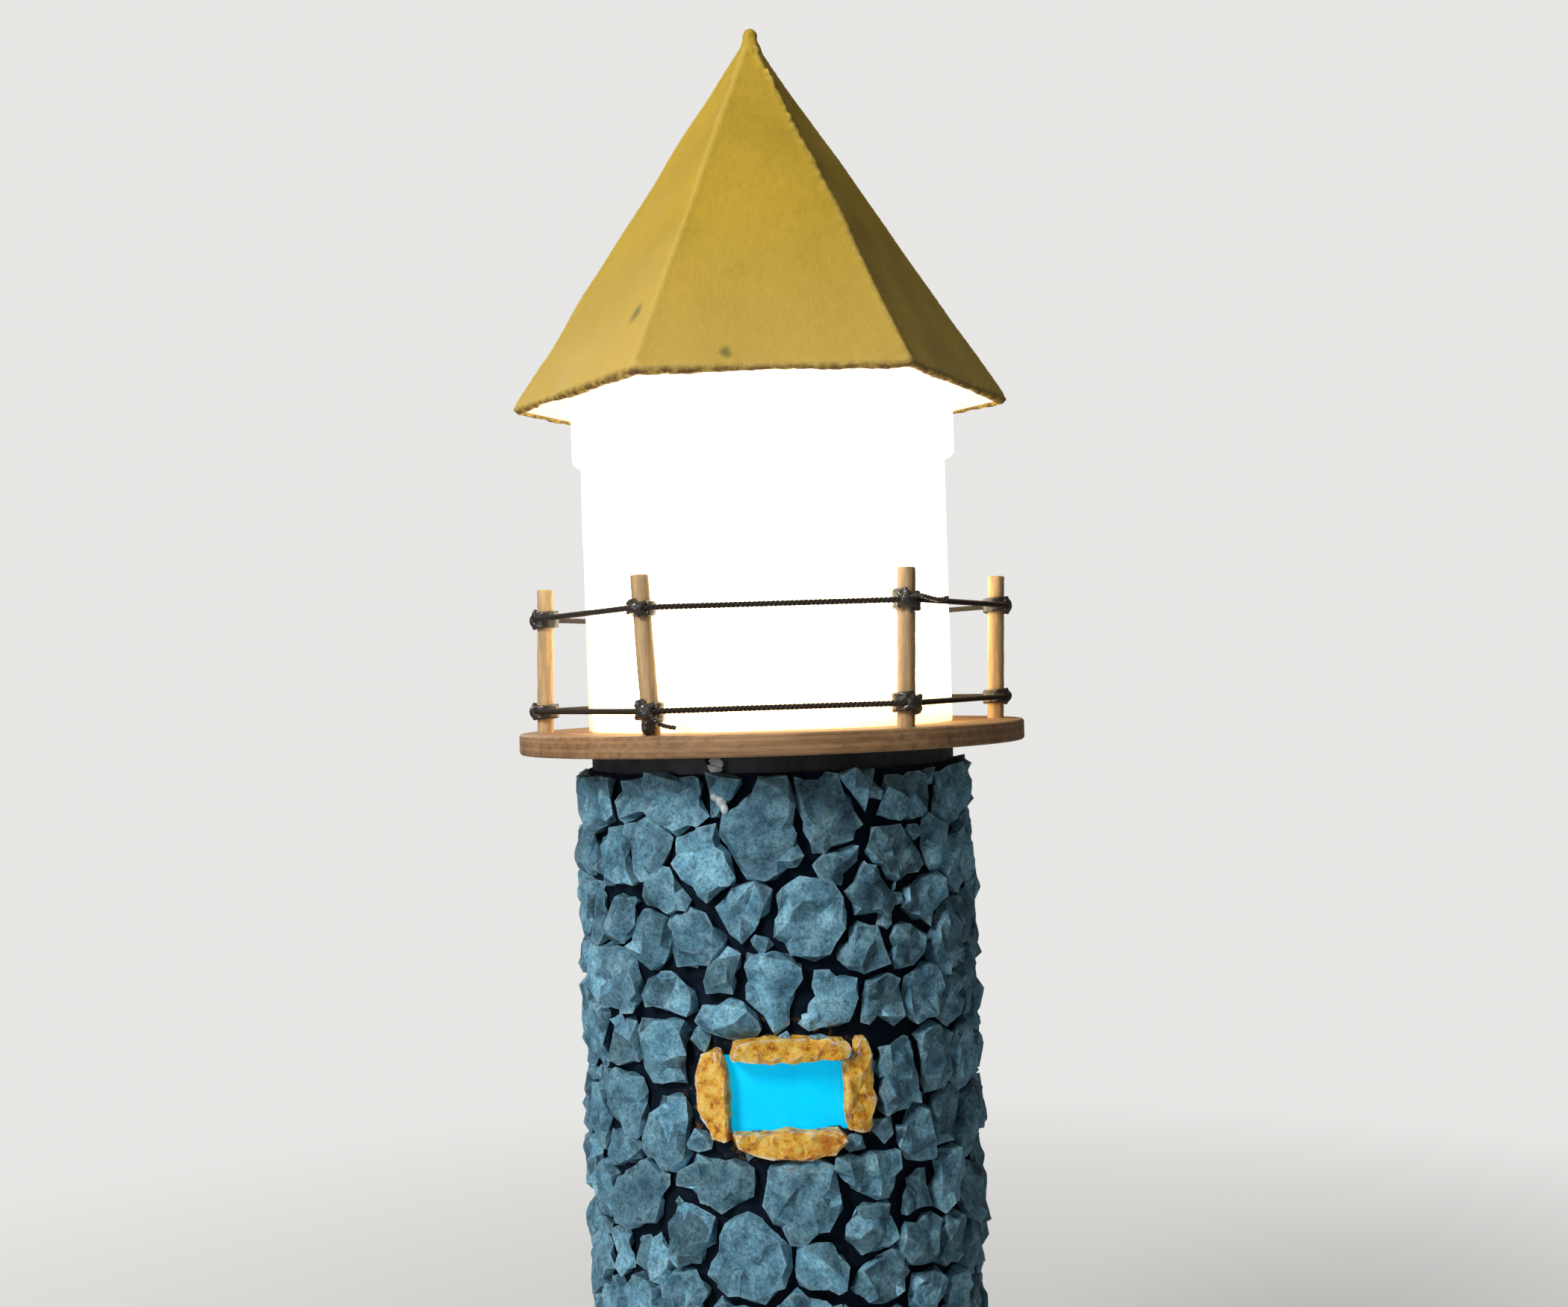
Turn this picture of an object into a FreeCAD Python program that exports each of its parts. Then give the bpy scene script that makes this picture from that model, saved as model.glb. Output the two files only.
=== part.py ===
import FreeCAD, Part
import math
import os
import random

# Garden lighthouse ornament, in millimetres.
# +Z is up, the origin is the middle of the base board's underside, and the window faces -Y.
# An angle in degrees is measured from the front (-Y) towards +X.

# ---- tower
base_radius = 86.0
base_thick = 12.0
base_chamfer = 1.5
pipe_radius = 55.0
pipe_wall = 3.2
tower_height = 320.0
plug_thick = 15.0
head_ring_thick = 12.0
head_ring_inner = 34.0

# ---- stone skin
bed_thick = 1.3
bare_collar = 5.5
bed_foot_gap = 1.0
stone_gap = 1.9
stone_thick_least = 1.9
stone_thick_most = 3.5
stone_tilt = 0.10
stone_pitch_round = 15.0
stone_pitch_up = 15.5
stone_jitter = 4.2
stone_size_least = 11.0
stone_size_most = 17.0
stone_corner_pull = 0.13
stone_least_edge = 1.3
stone_least_area = 14.0
stone_bands = 5
front_reach = 76.0
front_drop = 166.0

# ---- window
window_turn = 1.5
window_drop = 93.5
window_width = 32.0
window_height = 19.0
window_lap = 1.0
film_margin = 3.0
film_thick = 0.4
frame_stone_thick = 4.6

# ---- gallery and railing
gallery_radius = 76.5
gallery_thick = 6.0
gallery_chamfer = 0.5
post_radius = 2.5
post_height = 43.5
post_depth = 4.0
post_circle = 69.0
rail_turn = 2.25
rail_sides = 6
cord_radius = 0.95
cord_upper = 34.5
cord_lower = 6.6
knot_radius = 4.2
knot_height = 4.8
knot_rounding = 1.2

# ---- lantern
diffuser_radius = 55.0
diffuser_wall = 2.0
seat_inner = 46.5
seat_height = 8.0

# ---- roof
eave_height = 97.5
roof_radius = 76.0
roof_height = 113.5
panel_thick = 2.5
roof_turn = 3.2
roof_frame_thick = 6.0
roof_frame_hole = 42.0
collar_wall = 2.7
collar_height = 16.5
tip_radius = 2.6

# ---- lampholder and lamp
nipple_radius = 5.0
nipple_bore = 3.9
nipple_below = 9.0
nipple_above = 7.0
nut_thick = 3.0
nipple_nut_flats = 14.0
holder_radius = 19.0
holder_wall = 2.0
holder_floor = 3.0
holder_ledge = 9.0
holder_height = 40.0
core_thick = 6.0
thread_shell_radius = 14.3
thread_shell_wall = 0.6
thread_shell_height = 20.0
contact_radius = 3.0
contact_height = 2.0
cap_radius = 13.1
cap_length = 21.0
cap_nose = 3.0
globe_radius = 22.5
globe_wall = 1.0
neck_length = 12.0
globe_mouth = 17.5
neck_foot = 13.6

# ---- flex, terminal block and cable gland
flex_radius = 3.0
block_width = 22.0
block_depth = 16.0
block_height = 12.0
block_clear = 15.8
block_bore = 1.8
block_wires = 7.0
gland_height = 45.0
gland_thread = 8.0
gland_reach_in = 44.0
gland_flats = 20.0
gland_flange = 5.0
gland_neck = 7.0
gland_neck_radius = 7.4
gland_nut_length = 14.0
gland_mouth = 3.6
gland_seal_thick = 2.0
gland_seal_radius = 9.8
gland_margin = 1.5
locknut_flats = 22.0
locknut_thick = 5.0

# ---- screws: shank radius, head radius, head height, length
wood_screw = (1.75, 3.5, 2.0, 22.0)
wall_screw = (1.2, 2.3, 1.3, 11.0)
deck_screw = (1.5, 3.0, 1.8, 15.0)
block_screw = (1.2, 2.1, 1.2, 18.0)
clamp_screw = (1.2, 1.9, 1.2, 4.0)
base_screw_circle = 34.0
deck_screw_circle = 40.0
screw_count = 4
collar_screw_turn = -16.5
collar_screw_drop = 3.0
foot_screw_turn = 45.0
screw_recess = 0.3
slot_width = 0.8
slot_depth = 0.6

# ---- clearances
glue_gap = 0.05
slip_gap = 0.2
lift_gap = 0.3
run_gap = 0.3

# ---- heights that follow
pipe_inner = pipe_radius - pipe_wall
pipe_top = base_thick + tower_height
plug_top = base_thick + plug_thick
gallery_top = pipe_top + gallery_thick
eave = gallery_top + eave_height
bed_radius = pipe_radius + bed_thick
stone_back = bed_radius + glue_gap
bed_top = pipe_top - bare_collar
bed_foot = base_thick + bed_foot_gap
window_z = pipe_top - window_drop
gland_clear = gland_flats / math.sqrt(3) + gland_margin
gland_seat = pipe_radius + gland_seal_thick

# Stones of the front as they lie: angle, drop below the gallery, and rough size across.
front_stones = [
    (-60, 12, 17), (-43, 13, 8), (-27, 12, 19), (-14, 11, 9), (-3, 21, 24), (14, 17, 19),
    (24, 12, 9), (38, 14, 17), (60, 16, 18),
    (-72, 26, 12), (-51, 30, 17), (-38, 25, 15), (-29, 36, 9), (-20, 30, 19), (-8, 43, 14),
    (9, 46, 22), (18, 33, 9), (27, 38, 14), (35, 29, 17), (50, 25, 12), (66, 32, 18),
    (-74, 46, 12), (-63, 46, 9), (-49, 46, 13), (-38, 53, 16), (-23, 52, 16), (-15, 61, 13),
    (-2, 62, 19), (24, 54, 15), (38, 54, 13), (44, 44, 12), (56, 57, 13), (69, 51, 14),
    (-67, 63, 13), (-51, 63, 17), (-32, 66, 14), (-14, 73, 13), (14, 68, 17), (29, 70, 14),
    (43, 69, 13), (58, 73, 13), (72, 70, 12),
    (-70, 83, 17), (-50, 82, 15), (-33, 81, 19), (34, 91, 18), (47, 89, 17), (62, 90, 15),
    (-69, 106, 17), (-49, 98, 17), (-32, 103, 18), (-52, 113, 11), (-20, 111, 6), (25, 115, 17),
    (39, 109, 12), (52, 106, 11), (66, 112, 13),
    (-46, 125, 20), (-19, 118, 17), (5, 124, 21), (39, 125, 11), (52, 125, 13), (-66, 128, 15),
    (67, 131, 13), (-27, 132, 17), (-10, 138, 24), (23, 132, 16), (9, 141, 14), (41, 139, 13),
    (-54, 143, 12), (-41, 139, 14), (54, 142, 12), (-69, 147, 14), (68, 148, 12),
    (-29, 150, 14), (-45, 154, 14), (-16, 157, 14), (4, 155, 16), (27, 147, 14), (16, 160, 13),
    (41, 154, 12), (-60, 160, 13), (55, 160, 12), (31, 163, 13), (-33, 165, 13),
]

# Window surround: outlines in millimetres round the tower and up from the window's middle.
lintel_outline = [(-16.2, 10.2), (-15.0, 15.3), (-6.0, 16.6), (6.0, 16.4), (16.4, 15.0),
                  (18.2, 12.6), (17.4, 10.0), (2.0, 9.7)]
sill_outline = [(-15.8, -9.8), (0.0, -9.6), (14.0, -9.7), (16.0, -12.6), (13.0, -16.6),
                (2.0, -17.2), (-9.0, -16.8), (-15.0, -14.2)]
left_jamb_outline = [(-24.4, 12.0), (-19.4, 13.0), (-17.0, 7.0), (-16.2, -4.0), (-16.8, -12.2),
                     (-21.5, -12.0), (-25.3, -4.5), (-26.4, 3.5)]
right_jamb_outline = [(16.2, -7.6), (18.2, -11.2), (22.6, -11.6), (24.8, -4.0), (24.4, 8.0),
                      (22.6, 15.2), (20.0, 15.4), (19.2, 9.4), (16.3, 8.6)]
surround_gap = 1.0

# How far each post's top leans towards +X, from the rear left post round by the front.
post_lean = [0.8, 1.4, -2.0, 1.4, 1.4, -0.6]

# Points of the flex inside the tower, above the terminal block's height: y, z.
flex_rise = [(2.0, 0.0), (-13.6, 9.0), (-22.6, 24.6), (-22.6, 44.0), (-18.0, 74.0), (-10.0, 118.0),
             (-4.0, 168.0), (-1.0, 220.0), (0.0, 268.0)]

os.makedirs("parts", exist_ok=True)
Z = FreeCAD.Vector(0, 0, 1)
random.seed(7)


def point(x, y, z):
    return FreeCAD.Vector(x, y, z)


def outward(turn):
    """Level direction that points out of the tower at an angle from the front."""
    a = math.radians(turn)
    return point(math.sin(a), -math.cos(a), 0)


def sideways(turn):
    """Level direction along the tower's wall, towards a larger angle."""
    a = math.radians(turn)
    return point(math.cos(a), math.sin(a), 0)


def on_circle(radius, turn, z):
    return outward(turn) * radius + Z * z


def save(name, shape):
    shape.exportStep("parts/" + name + ".step")
    print(name, "solids", len(shape.Solids), "volume", round(shape.Volume, 1), shape.isValid())


def cylinder(radius, low, high):
    return Part.makeCylinder(radius, high - low, point(0, 0, low))


def ring(outer, inner, low, high):
    return cylinder(outer, low, high).cut(cylinder(inner, low, high))


def turned(outline):
    """Solid of revolution about Z from a closed outline of (radius, height)."""
    corners = [point(r, 0, z) for r, z in outline]
    face = Part.Face(Part.makePolygon(corners + corners[:1]))
    return face.revolve(point(0, 0, 0), Z, 360)


def hexagon(flats, low, high):
    """Hexagonal prism about Z, as wide across its flats as a spanner."""
    corner = flats / math.sqrt(3)
    corners = [point(corner * math.cos(math.radians(a)), corner * math.sin(math.radians(a)), low)
               for a in range(0, 361, 60)]
    return Part.Face(Part.makePolygon(corners)).extrude(Z * (high - low))


def aim(shape, place, direction):
    """Moves a shape that was made along +Z from the origin to a place and a direction."""
    moved = shape.copy()
    moved.Placement = FreeCAD.Placement(place, FreeCAD.Rotation(Z, direction))
    return moved


def polyhedron(loops):
    faces = [Part.Face(Part.makePolygon(loop + loop[:1])) for loop in loops]
    solid = Part.makeSolid(Part.makeShell(faces))
    if solid.Volume < 0:
        solid.reverse()
    return solid


def screw(kind, grow=0.0):
    """Countersunk screw with its head's face at the origin and its shank along +Z."""
    shank, head, head_high, length = kind
    outline = [(0, -grow), (head + grow, -grow), (head + grow, 0), (shank + grow, head_high),
               (shank + grow, length - shank), (0, length + grow)]
    body = turned(outline if grow else outline[:1] + outline[2:])
    if grow:
        return body
    slot = Part.makeBox(2 * head, slot_width, 2 * slot_depth)
    slot.translate(point(-head, -slot_width / 2, -slot_depth))
    return body.cut(slot)


def screw_places(count, radius, turn, z, direction=None):
    """Places and directions of a ring of screws, which point inwards if no direction is given."""
    turns = [turn + 360.0 / count * i for i in range(count)]
    return [(on_circle(radius, t, z), direction or outward(t) * -1) for t in turns]


def screws(kind, places):
    return Part.makeCompound([aim(screw(kind), at, way) for at, way in places])


def drilled(shape, kind, places):
    """Cuts a screw's hole, which leaves the head room to come in from outside."""
    for at, way in places:
        shape = shape.cut(aim(screw(kind, glue_gap), at, way))
        shape = shape.cut(aim(Part.makeCylinder(kind[1] + glue_gap, 8.0), at - way * 8.0, way))
    return shape


def wall_box(width, height, inner, outer, turn, z):
    """Box that crosses the tower's wall from one radius to another."""
    box = Part.makeBox(width, outer - inner, height, point(-width / 2, inner, -height / 2))
    box.rotate(point(0, 0, 0), Z, 180 + turn)
    box.translate(Z * z)
    return box


# ---- screws of the tower, the gallery and the terminal block

base_places = screw_places(screw_count, base_screw_circle, 0, screw_recess, Z)
foot_places = screw_places(screw_count, pipe_radius - glue_gap * 2, foot_screw_turn,
                           base_thick + plug_thick / 2)
collar_places = screw_places(screw_count, pipe_radius - glue_gap * 2, collar_screw_turn,
                             pipe_top - collar_screw_drop)
deck_places = screw_places(screw_count, deck_screw_circle, foot_screw_turn,
                           gallery_top - glue_gap, Z * -1)
block_back = pipe_inner - block_clear
block_middle = block_back - block_depth / 2
block_places = [(point(0, block_middle, plug_top + block_height - screw_recess), Z * -1)]
clamp_places = [(point(x, block_middle, plug_top + block_height - screw_recess), Z * -1)
                for x in (-block_wires, block_wires)]


def make_base():
    board = cylinder(base_radius, 0, base_thick)
    board = board.makeChamfer(base_chamfer, [e for e in board.Edges if len(e.Vertexes) == 1])
    save("base_board", drilled(board, wood_screw, base_places))
    plug = cylinder(pipe_inner - glue_gap, base_thick, plug_top)
    plug = drilled(plug, wood_screw, base_places)
    plug = drilled(plug, wall_screw, foot_places)
    save("base_plug", drilled(plug, block_screw, block_places))
    save("base_screws", screws(wood_screw, base_places))
    save("foot_screws", screws(wall_screw, foot_places))


def gland_cylinder(radius, inner, outer):
    """Cylinder along the cable gland's axis, at the rear of the tower."""
    return Part.makeCylinder(radius, outer - inner, point(0, inner, gland_height), point(0, 1, 0))


def make_tower():
    pipe = ring(pipe_radius, pipe_inner, base_thick, pipe_top)
    pipe = pipe.cut(wall_box(window_width + window_lap, window_height + window_lap,
                             pipe_inner - pipe_wall, pipe_radius + pipe_wall, window_turn, window_z))
    pipe = pipe.cut(gland_cylinder(gland_thread + glue_gap, pipe_inner - pipe_wall, bed_radius))
    pipe = drilled(pipe, wall_screw, foot_places)
    save("tower_pipe", drilled(pipe, wall_screw, collar_places))

    bed = ring(bed_radius, pipe_radius + glue_gap, bed_foot, bed_top)
    bed = bed.cut(film_box(run_gap))
    bed = bed.cut(gland_cylinder(gland_clear, pipe_inner, bed_radius + bed_thick))
    save("mortar_bed", bed)

    head = ring(pipe_inner - glue_gap, head_ring_inner, pipe_top - head_ring_thick, pipe_top)
    head = drilled(head, wall_screw, collar_places)
    save("head_ring", drilled(head, deck_screw, deck_places))
    save("collar_screws", screws(wall_screw, collar_places))


# ---- window

def film_box(grow):
    return wall_box(window_width + 2 * film_margin + 2 * grow,
                    window_height + 2 * film_margin + 2 * grow,
                    pipe_inner, pipe_radius + 2 * bed_thick, window_turn, window_z)


def make_window():
    film = ring(pipe_radius + glue_gap + film_thick, pipe_radius + glue_gap,
                window_z - window_height, window_z + window_height)
    save("window_film", film.common(film_box(0)))
    surround = {"window_lintel": lintel_outline, "window_sill": sill_outline,
                "window_jamb_left": left_jamb_outline, "window_jamb_right": right_jamb_outline}
    for name, outline in surround.items():
        save(name, seated_stone(outline))


def seated_stone(outline):
    """Flat-faced stone whose back is cut to the round of the mortar bed."""
    middle = sum(s for s, z in outline) / len(outline)
    turn = window_turn + math.degrees(middle / stone_back)
    across, out = sideways(turn), outward(turn)
    half = max(abs(s - middle) for s, z in outline) / stone_back
    depth = stone_back * math.cos(half) - 0.5
    loop = [out * depth + across * (stone_back * math.sin((s - middle) / stone_back)) + Z * (window_z + z)
            for s, z in outline]
    face = Part.Face(Part.makePolygon(loop + loop[:1]))
    block = face.extrude(out * (stone_back + frame_stone_thick - depth))
    return block.cut(cylinder(stone_back, bed_foot, bed_top))


# ---- stones

def clipped(outline, nx, nz, limit):
    """Part of a convex outline where nx * s + nz * z stays below the limit."""
    kept = []
    for (s0, z0), (s1, z1) in zip(outline, outline[1:] + outline[:1]):
        d0 = nx * s0 + nz * z0 - limit
        d1 = nx * s1 + nz * z1 - limit
        if d0 <= 0:
            kept.append((s0, z0))
        if d0 * d1 < 0:
            t = d0 / (d0 - d1)
            kept.append((s0 + t * (s1 - s0), z0 + t * (z1 - z0)))
    return kept


def area(outline):
    pairs = zip(outline, outline[1:] + outline[:1])
    return sum(s0 * z1 - s1 * z0 for (s0, z0), (s1, z1) in pairs) / 2


def stone_seeds():
    """Middle of every stone as (distance round, height, size): the front by hand, the rest by rows."""
    per_degree = math.radians(1) * stone_back
    seeds = [(turn * per_degree, pipe_top - drop, size) for turn, drop, size in front_stones]
    around = 2 * math.pi * stone_back
    columns = round(around / stone_pitch_round)
    rows = round((bed_top - bed_foot) / stone_pitch_up)
    for row in range(rows):
        for column in range(columns):
            s = (column + 0.5 * (row % 2)) * around / columns - around / 2
            s += random.uniform(-stone_jitter, stone_jitter)
            z = bed_foot + (row + 0.5) * (bed_top - bed_foot) / rows
            z += random.uniform(-stone_jitter, stone_jitter)
            size = random.uniform(stone_size_least, stone_size_most)
            in_front = abs(s) < front_reach * per_degree and z > pipe_top - front_drop
            crowded = any(math.hypot(s - f[0], z - f[1]) < stone_pitch_round / 2 for f in seeds)
            if not in_front and not crowded:
                seeds.append((s, z, size))
    return seeds


def keep_clear(outline, seed):
    """Trims a stone's outline back from the window's surround and from the cable gland."""
    s0, z0 = seed[:2]
    shift = math.radians(window_turn) * stone_back
    left = min(s for s, z in left_jamb_outline) + shift - surround_gap
    right = max(s for s, z in right_jamb_outline) + shift + surround_gap
    low = min(z for s, z in sill_outline) + window_z - surround_gap
    high = max(z for s, z in lintel_outline) + window_z + surround_gap
    sides = [(1, 0, left), (-1, 0, -right), (0, 1, low), (0, -1, -high)]
    nx, nz, limit = max(sides, key=lambda side: side[2] - side[0] * s0 - side[1] * z0)
    if limit - nx * s0 - nz * z0 <= 0:
        return []
    outline = clipped(outline, nx, nz, limit)
    ds = math.copysign(math.pi * stone_back, s0) - s0
    dz = gland_height - z0
    apart = math.hypot(ds, dz)
    if apart <= gland_clear:
        return []
    nx, nz = ds / apart, dz / apart
    return clipped(outline, nx, nz, nx * s0 + nz * z0 + apart - gland_clear)


def stone_outline(index, seeds):
    """The stone's share of the wall between its neighbours, less the gap round it."""
    s0, z0, size = seeds[index]
    around = 2 * math.pi * stone_back
    reach = 1.4 * stone_size_most
    outline = [(s0 - reach, z0 - reach), (s0 + reach, z0 - reach),
               (s0 + reach, z0 + reach), (s0 - reach, z0 + reach)]
    for s1, z1, other in seeds[:index] + seeds[index + 1:]:
        ds = (s1 - s0 + around / 2) % around - around / 2
        dz = z1 - z0
        apart = math.hypot(ds, dz)
        if apart > 3 * stone_size_most:
            continue
        nx, nz = ds / apart, dz / apart
        share = (apart + (size ** 2 - other ** 2) / (4 * apart)) / 2
        outline = clipped(outline, nx, nz, nx * s0 + nz * z0 + share - stone_gap / 2)
    outline = clipped(outline, 0, 1, bed_top - stone_gap / 4)
    outline = clipped(outline, 0, -1, -bed_foot - stone_gap / 4)
    return keep_clear(outline, seeds[index])


def roughened(outline):
    """Drops the shortest edges and pulls each corner in by a little, unevenly."""
    kept = []
    for s, z in outline:
        if not kept or math.hypot(s - kept[-1][0], z - kept[-1][1]) > stone_least_edge:
            kept.append((s, z))
    middle_s = sum(s for s, z in kept) / len(kept)
    middle_z = sum(z for s, z in kept) / len(kept)
    pulled = []
    for s, z in kept:
        pull = random.uniform(0, stone_corner_pull)
        pulled.append((s + (middle_s - s) * pull, z + (middle_z - z) * pull))
    return pulled


def stone(outline):
    """Chip of stone with a flat back on the mortar bed and a flat, tilted face."""
    middle_s = sum(s for s, z in outline) / len(outline)
    middle_z = sum(z for s, z in outline) / len(outline)
    turn = math.degrees(middle_s / stone_back)
    across, out = sideways(turn), outward(turn)
    thick = random.uniform(stone_thick_least, stone_thick_most)
    lean_s = random.uniform(-stone_tilt, stone_tilt)
    lean_z = random.uniform(-stone_tilt, stone_tilt)
    foot = []
    face = []
    for s, z in outline:
        x = stone_back * math.tan((s - middle_s) / stone_back)
        low = out * stone_back + across * x + Z * z
        foot.append(low)
        face.append(low + out * (thick + lean_s * x + lean_z * (z - middle_z)))
    sides = [[foot[k - 1], foot[k], face[k], face[k - 1]] for k in range(len(foot))]
    return polyhedron([foot[::-1], face] + sides)


def make_stones():
    seeds = stone_seeds()
    bands = [[] for band in range(stone_bands)]
    for index, seed in enumerate(seeds):
        outline = stone_outline(index, seeds)
        if len(outline) < 3 or area(outline) < stone_least_area:
            continue
        outline = roughened(outline)
        if len(outline) < 3:
            continue
        band = int((pipe_top - seed[1]) / tower_height * stone_bands)
        bands[min(band, stone_bands - 1)].append(stone(outline))
    for band, stones in enumerate(bands):
        save("stones_band_%d" % (band + 1), Part.makeCompound(stones))


# ---- gallery and railing

def post_line(index):
    """Foot on the gallery and top of a post."""
    turn = rail_turn - 180 + 360 / rail_sides * (index + 0.5)
    foot = on_circle(post_circle, turn, gallery_top)
    return foot, foot + Z * post_height + point(post_lean[index], 0, 0)


def post(index, grow=0.0):
    foot, top = post_line(index)
    way = (top - foot).normalize()
    length = (top - foot).Length + post_depth
    low = foot - way * (post_depth + grow)
    return aim(Part.makeCylinder(post_radius + grow, length + 2 * grow), low, way)


def at_post(index, height):
    foot, top = post_line(index)
    return foot + (top - foot) * (height / post_height)


def cord_path(height):
    """Closed loop that runs straight between the posts and round the outside of each."""
    corners = [at_post(i, height) for i in range(rail_sides)]
    bend = post_radius + cord_radius + glue_gap
    outs = []
    for here, after in zip(corners, corners[1:] + corners[:1]):
        way = (after - here).normalize()
        outs.append(point(way.y, -way.x, 0) * bend)
    edges = []
    for i, here in enumerate(corners):
        before, after = outs[i - 1], outs[i]
        middle = (before + after).normalize() * bend
        edges.append(Part.Arc(here + before, here + middle, here + after).toShape())
        edges.append(Part.makeLine(here + after, corners[(i + 1) % rail_sides] + after))
    return Part.Wire(edges)


def swept(path, radius):
    """Round tube along a path of lines and tangent arcs."""
    start = path.OrderedEdges[0]
    way = start.tangentAt(start.FirstParameter)
    section = Part.Wire(Part.makeCircle(radius, start.valueAt(start.FirstParameter), way))
    tube = path.makePipeShell([section], True, False)
    print("tube", round(tube.Volume / (math.pi * radius ** 2 * path.Length), 4))
    return tube


def cord(height, grow=0.0):
    return swept(cord_path(height), cord_radius + grow)


def knots(height):
    around_cord = cord(height, glue_gap)
    made = []
    for index in range(rail_sides):
        knot = Part.makeCylinder(knot_radius, knot_height, at_post(index, height) - Z * (knot_height / 2))
        knot = knot.makeFillet(knot_rounding, [e for e in knot.Edges if len(e.Vertexes) == 1])
        knot = knot.cut(post(index, glue_gap)).cut(around_cord)
        made += knot.Solids
    return Part.makeCompound(made)


def make_gallery():
    disc = cylinder(gallery_radius, pipe_top, gallery_top)
    disc = disc.makeChamfer(gallery_chamfer, [e for e in disc.Edges if len(e.Vertexes) == 1])
    disc = disc.cut(cylinder(nipple_radius + glue_gap, pipe_top, gallery_top))
    disc = drilled(disc, deck_screw, deck_places)
    for index in range(rail_sides):
        disc = disc.cut(post(index, glue_gap))
        save("rail_post_%d" % (index + 1), post(index))
    save("gallery_disc", disc)
    save("gallery_screws", screws(deck_screw, deck_places))
    save("rail_cord_upper", cord(cord_upper))
    save("rail_cord_lower", cord(cord_lower))
    save("rail_knots_upper", knots(cord_upper))
    save("rail_knots_lower", knots(cord_lower))


# ---- lantern, lampholder and lamp

holder_inner = holder_radius - holder_wall
core_low = gallery_top + holder_ledge
core_top = core_low + core_thick
lamp_foot = core_top + contact_height + run_gap


def make_lantern():
    save("diffuser_seat", ring(diffuser_radius - diffuser_wall - slip_gap, seat_inner,
                               gallery_top, gallery_top + seat_height))
    save("lantern_diffuser", ring(diffuser_radius, diffuser_radius - diffuser_wall,
                                  gallery_top, eave - lift_gap))


def make_lampholder():
    hole = nipple_radius + glue_gap
    low, ledge, top = gallery_top, core_low, gallery_top + holder_height
    floor = low + holder_floor
    cavity = holder_inner - holder_ledge / 2
    outline = [(hole, low), (holder_radius, low), (holder_radius, top), (holder_inner, top),
               (holder_inner, ledge), (cavity, ledge), (cavity, floor), (hole, floor)]
    save("lampholder_shell", turned(outline))
    save("lampholder_core", cylinder(holder_inner - slip_gap, core_low, core_top))
    save("lampholder_thread", ring(thread_shell_radius, thread_shell_radius - thread_shell_wall,
                                   core_top, core_top + thread_shell_height))
    save("lampholder_contact", cylinder(contact_radius, core_top, core_top + contact_height))
    save("lamp_nipple", ring(nipple_radius, nipple_bore, pipe_top - nipple_below,
                             gallery_top + nipple_above))
    nuts = [hexagon(nipple_nut_flats, z, z + nut_thick).cut(cylinder(hole, z, z + nut_thick))
            for z in (pipe_top - nut_thick, floor)]
    save("nipple_nuts", Part.makeCompound(nuts))


def make_bulb():
    tip = 1.0
    cap_low = lamp_foot + tip
    cap_top = cap_low + cap_length
    neck_top = cap_top + neck_length
    save("bulb_contact", cylinder(contact_radius, lamp_foot, cap_low))
    save("bulb_cap", turned([(0, cap_low), (contact_radius + tip, cap_low),
                             (cap_radius, cap_low + cap_nose), (cap_radius, cap_top), (0, cap_top)]))
    save("bulb_neck", turned([(0, cap_top), (neck_foot, cap_top), (globe_mouth, neck_top),
                              (0, neck_top)]))
    middle = neck_top + math.sqrt(globe_radius ** 2 - globe_mouth ** 2)
    globe = Part.makeSphere(globe_radius, point(0, 0, middle))
    globe = globe.cut(Part.makeSphere(globe_radius - globe_wall, point(0, 0, middle)))
    save("bulb_globe", globe.cut(cylinder(2 * globe_radius, neck_top - globe_radius, neck_top)))


# ---- roof

slope = math.atan2(roof_height, roof_radius * math.cos(math.pi / rail_sides))


def hip_point(radius, side, z):
    return on_circle(radius, roof_turn + 360 / rail_sides * (side - 0.5), z)


def pyramid(inset, low):
    """Solid hexagonal pyramid under faces that lie the inset below the roof's outer faces."""
    reach = (roof_radius * math.cos(math.pi / rail_sides) - inset / math.sin(slope)
             + (eave - low) / math.tan(slope))
    top = low + reach * math.tan(slope)
    foot = [hip_point(reach / math.cos(math.pi / rail_sides), side, low) for side in range(rail_sides)]
    tip = point(0, 0, top)
    return polyhedron([foot[::-1]] + [[foot[k - 1], foot[k], tip] for k in range(rail_sides)])


def roof_panel(side):
    """One triangular board, mitred at both hips and cut square along the eave."""
    half = math.cos(math.pi / rail_sides)
    inner = roof_radius - panel_thick * math.sin(slope) / half
    low = eave - panel_thick * math.cos(slope)
    outer_line = [hip_point(roof_radius, side, eave), hip_point(roof_radius, side + 1, eave)]
    inner_line = [hip_point(inner, side, low), hip_point(inner, side + 1, low)]
    outer_tip = point(0, 0, eave + roof_height)
    inner_tip = point(0, 0, eave + roof_height - panel_thick / math.cos(slope))
    return polyhedron([[outer_line[0], outer_line[1], outer_tip],
                       [inner_line[1], inner_line[0], inner_tip],
                       [outer_line[1], outer_line[0], inner_line[0], inner_line[1]],
                       [outer_line[0], outer_tip, inner_tip, inner_line[0]],
                       [outer_tip, outer_line[1], inner_line[1], inner_tip]])


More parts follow.
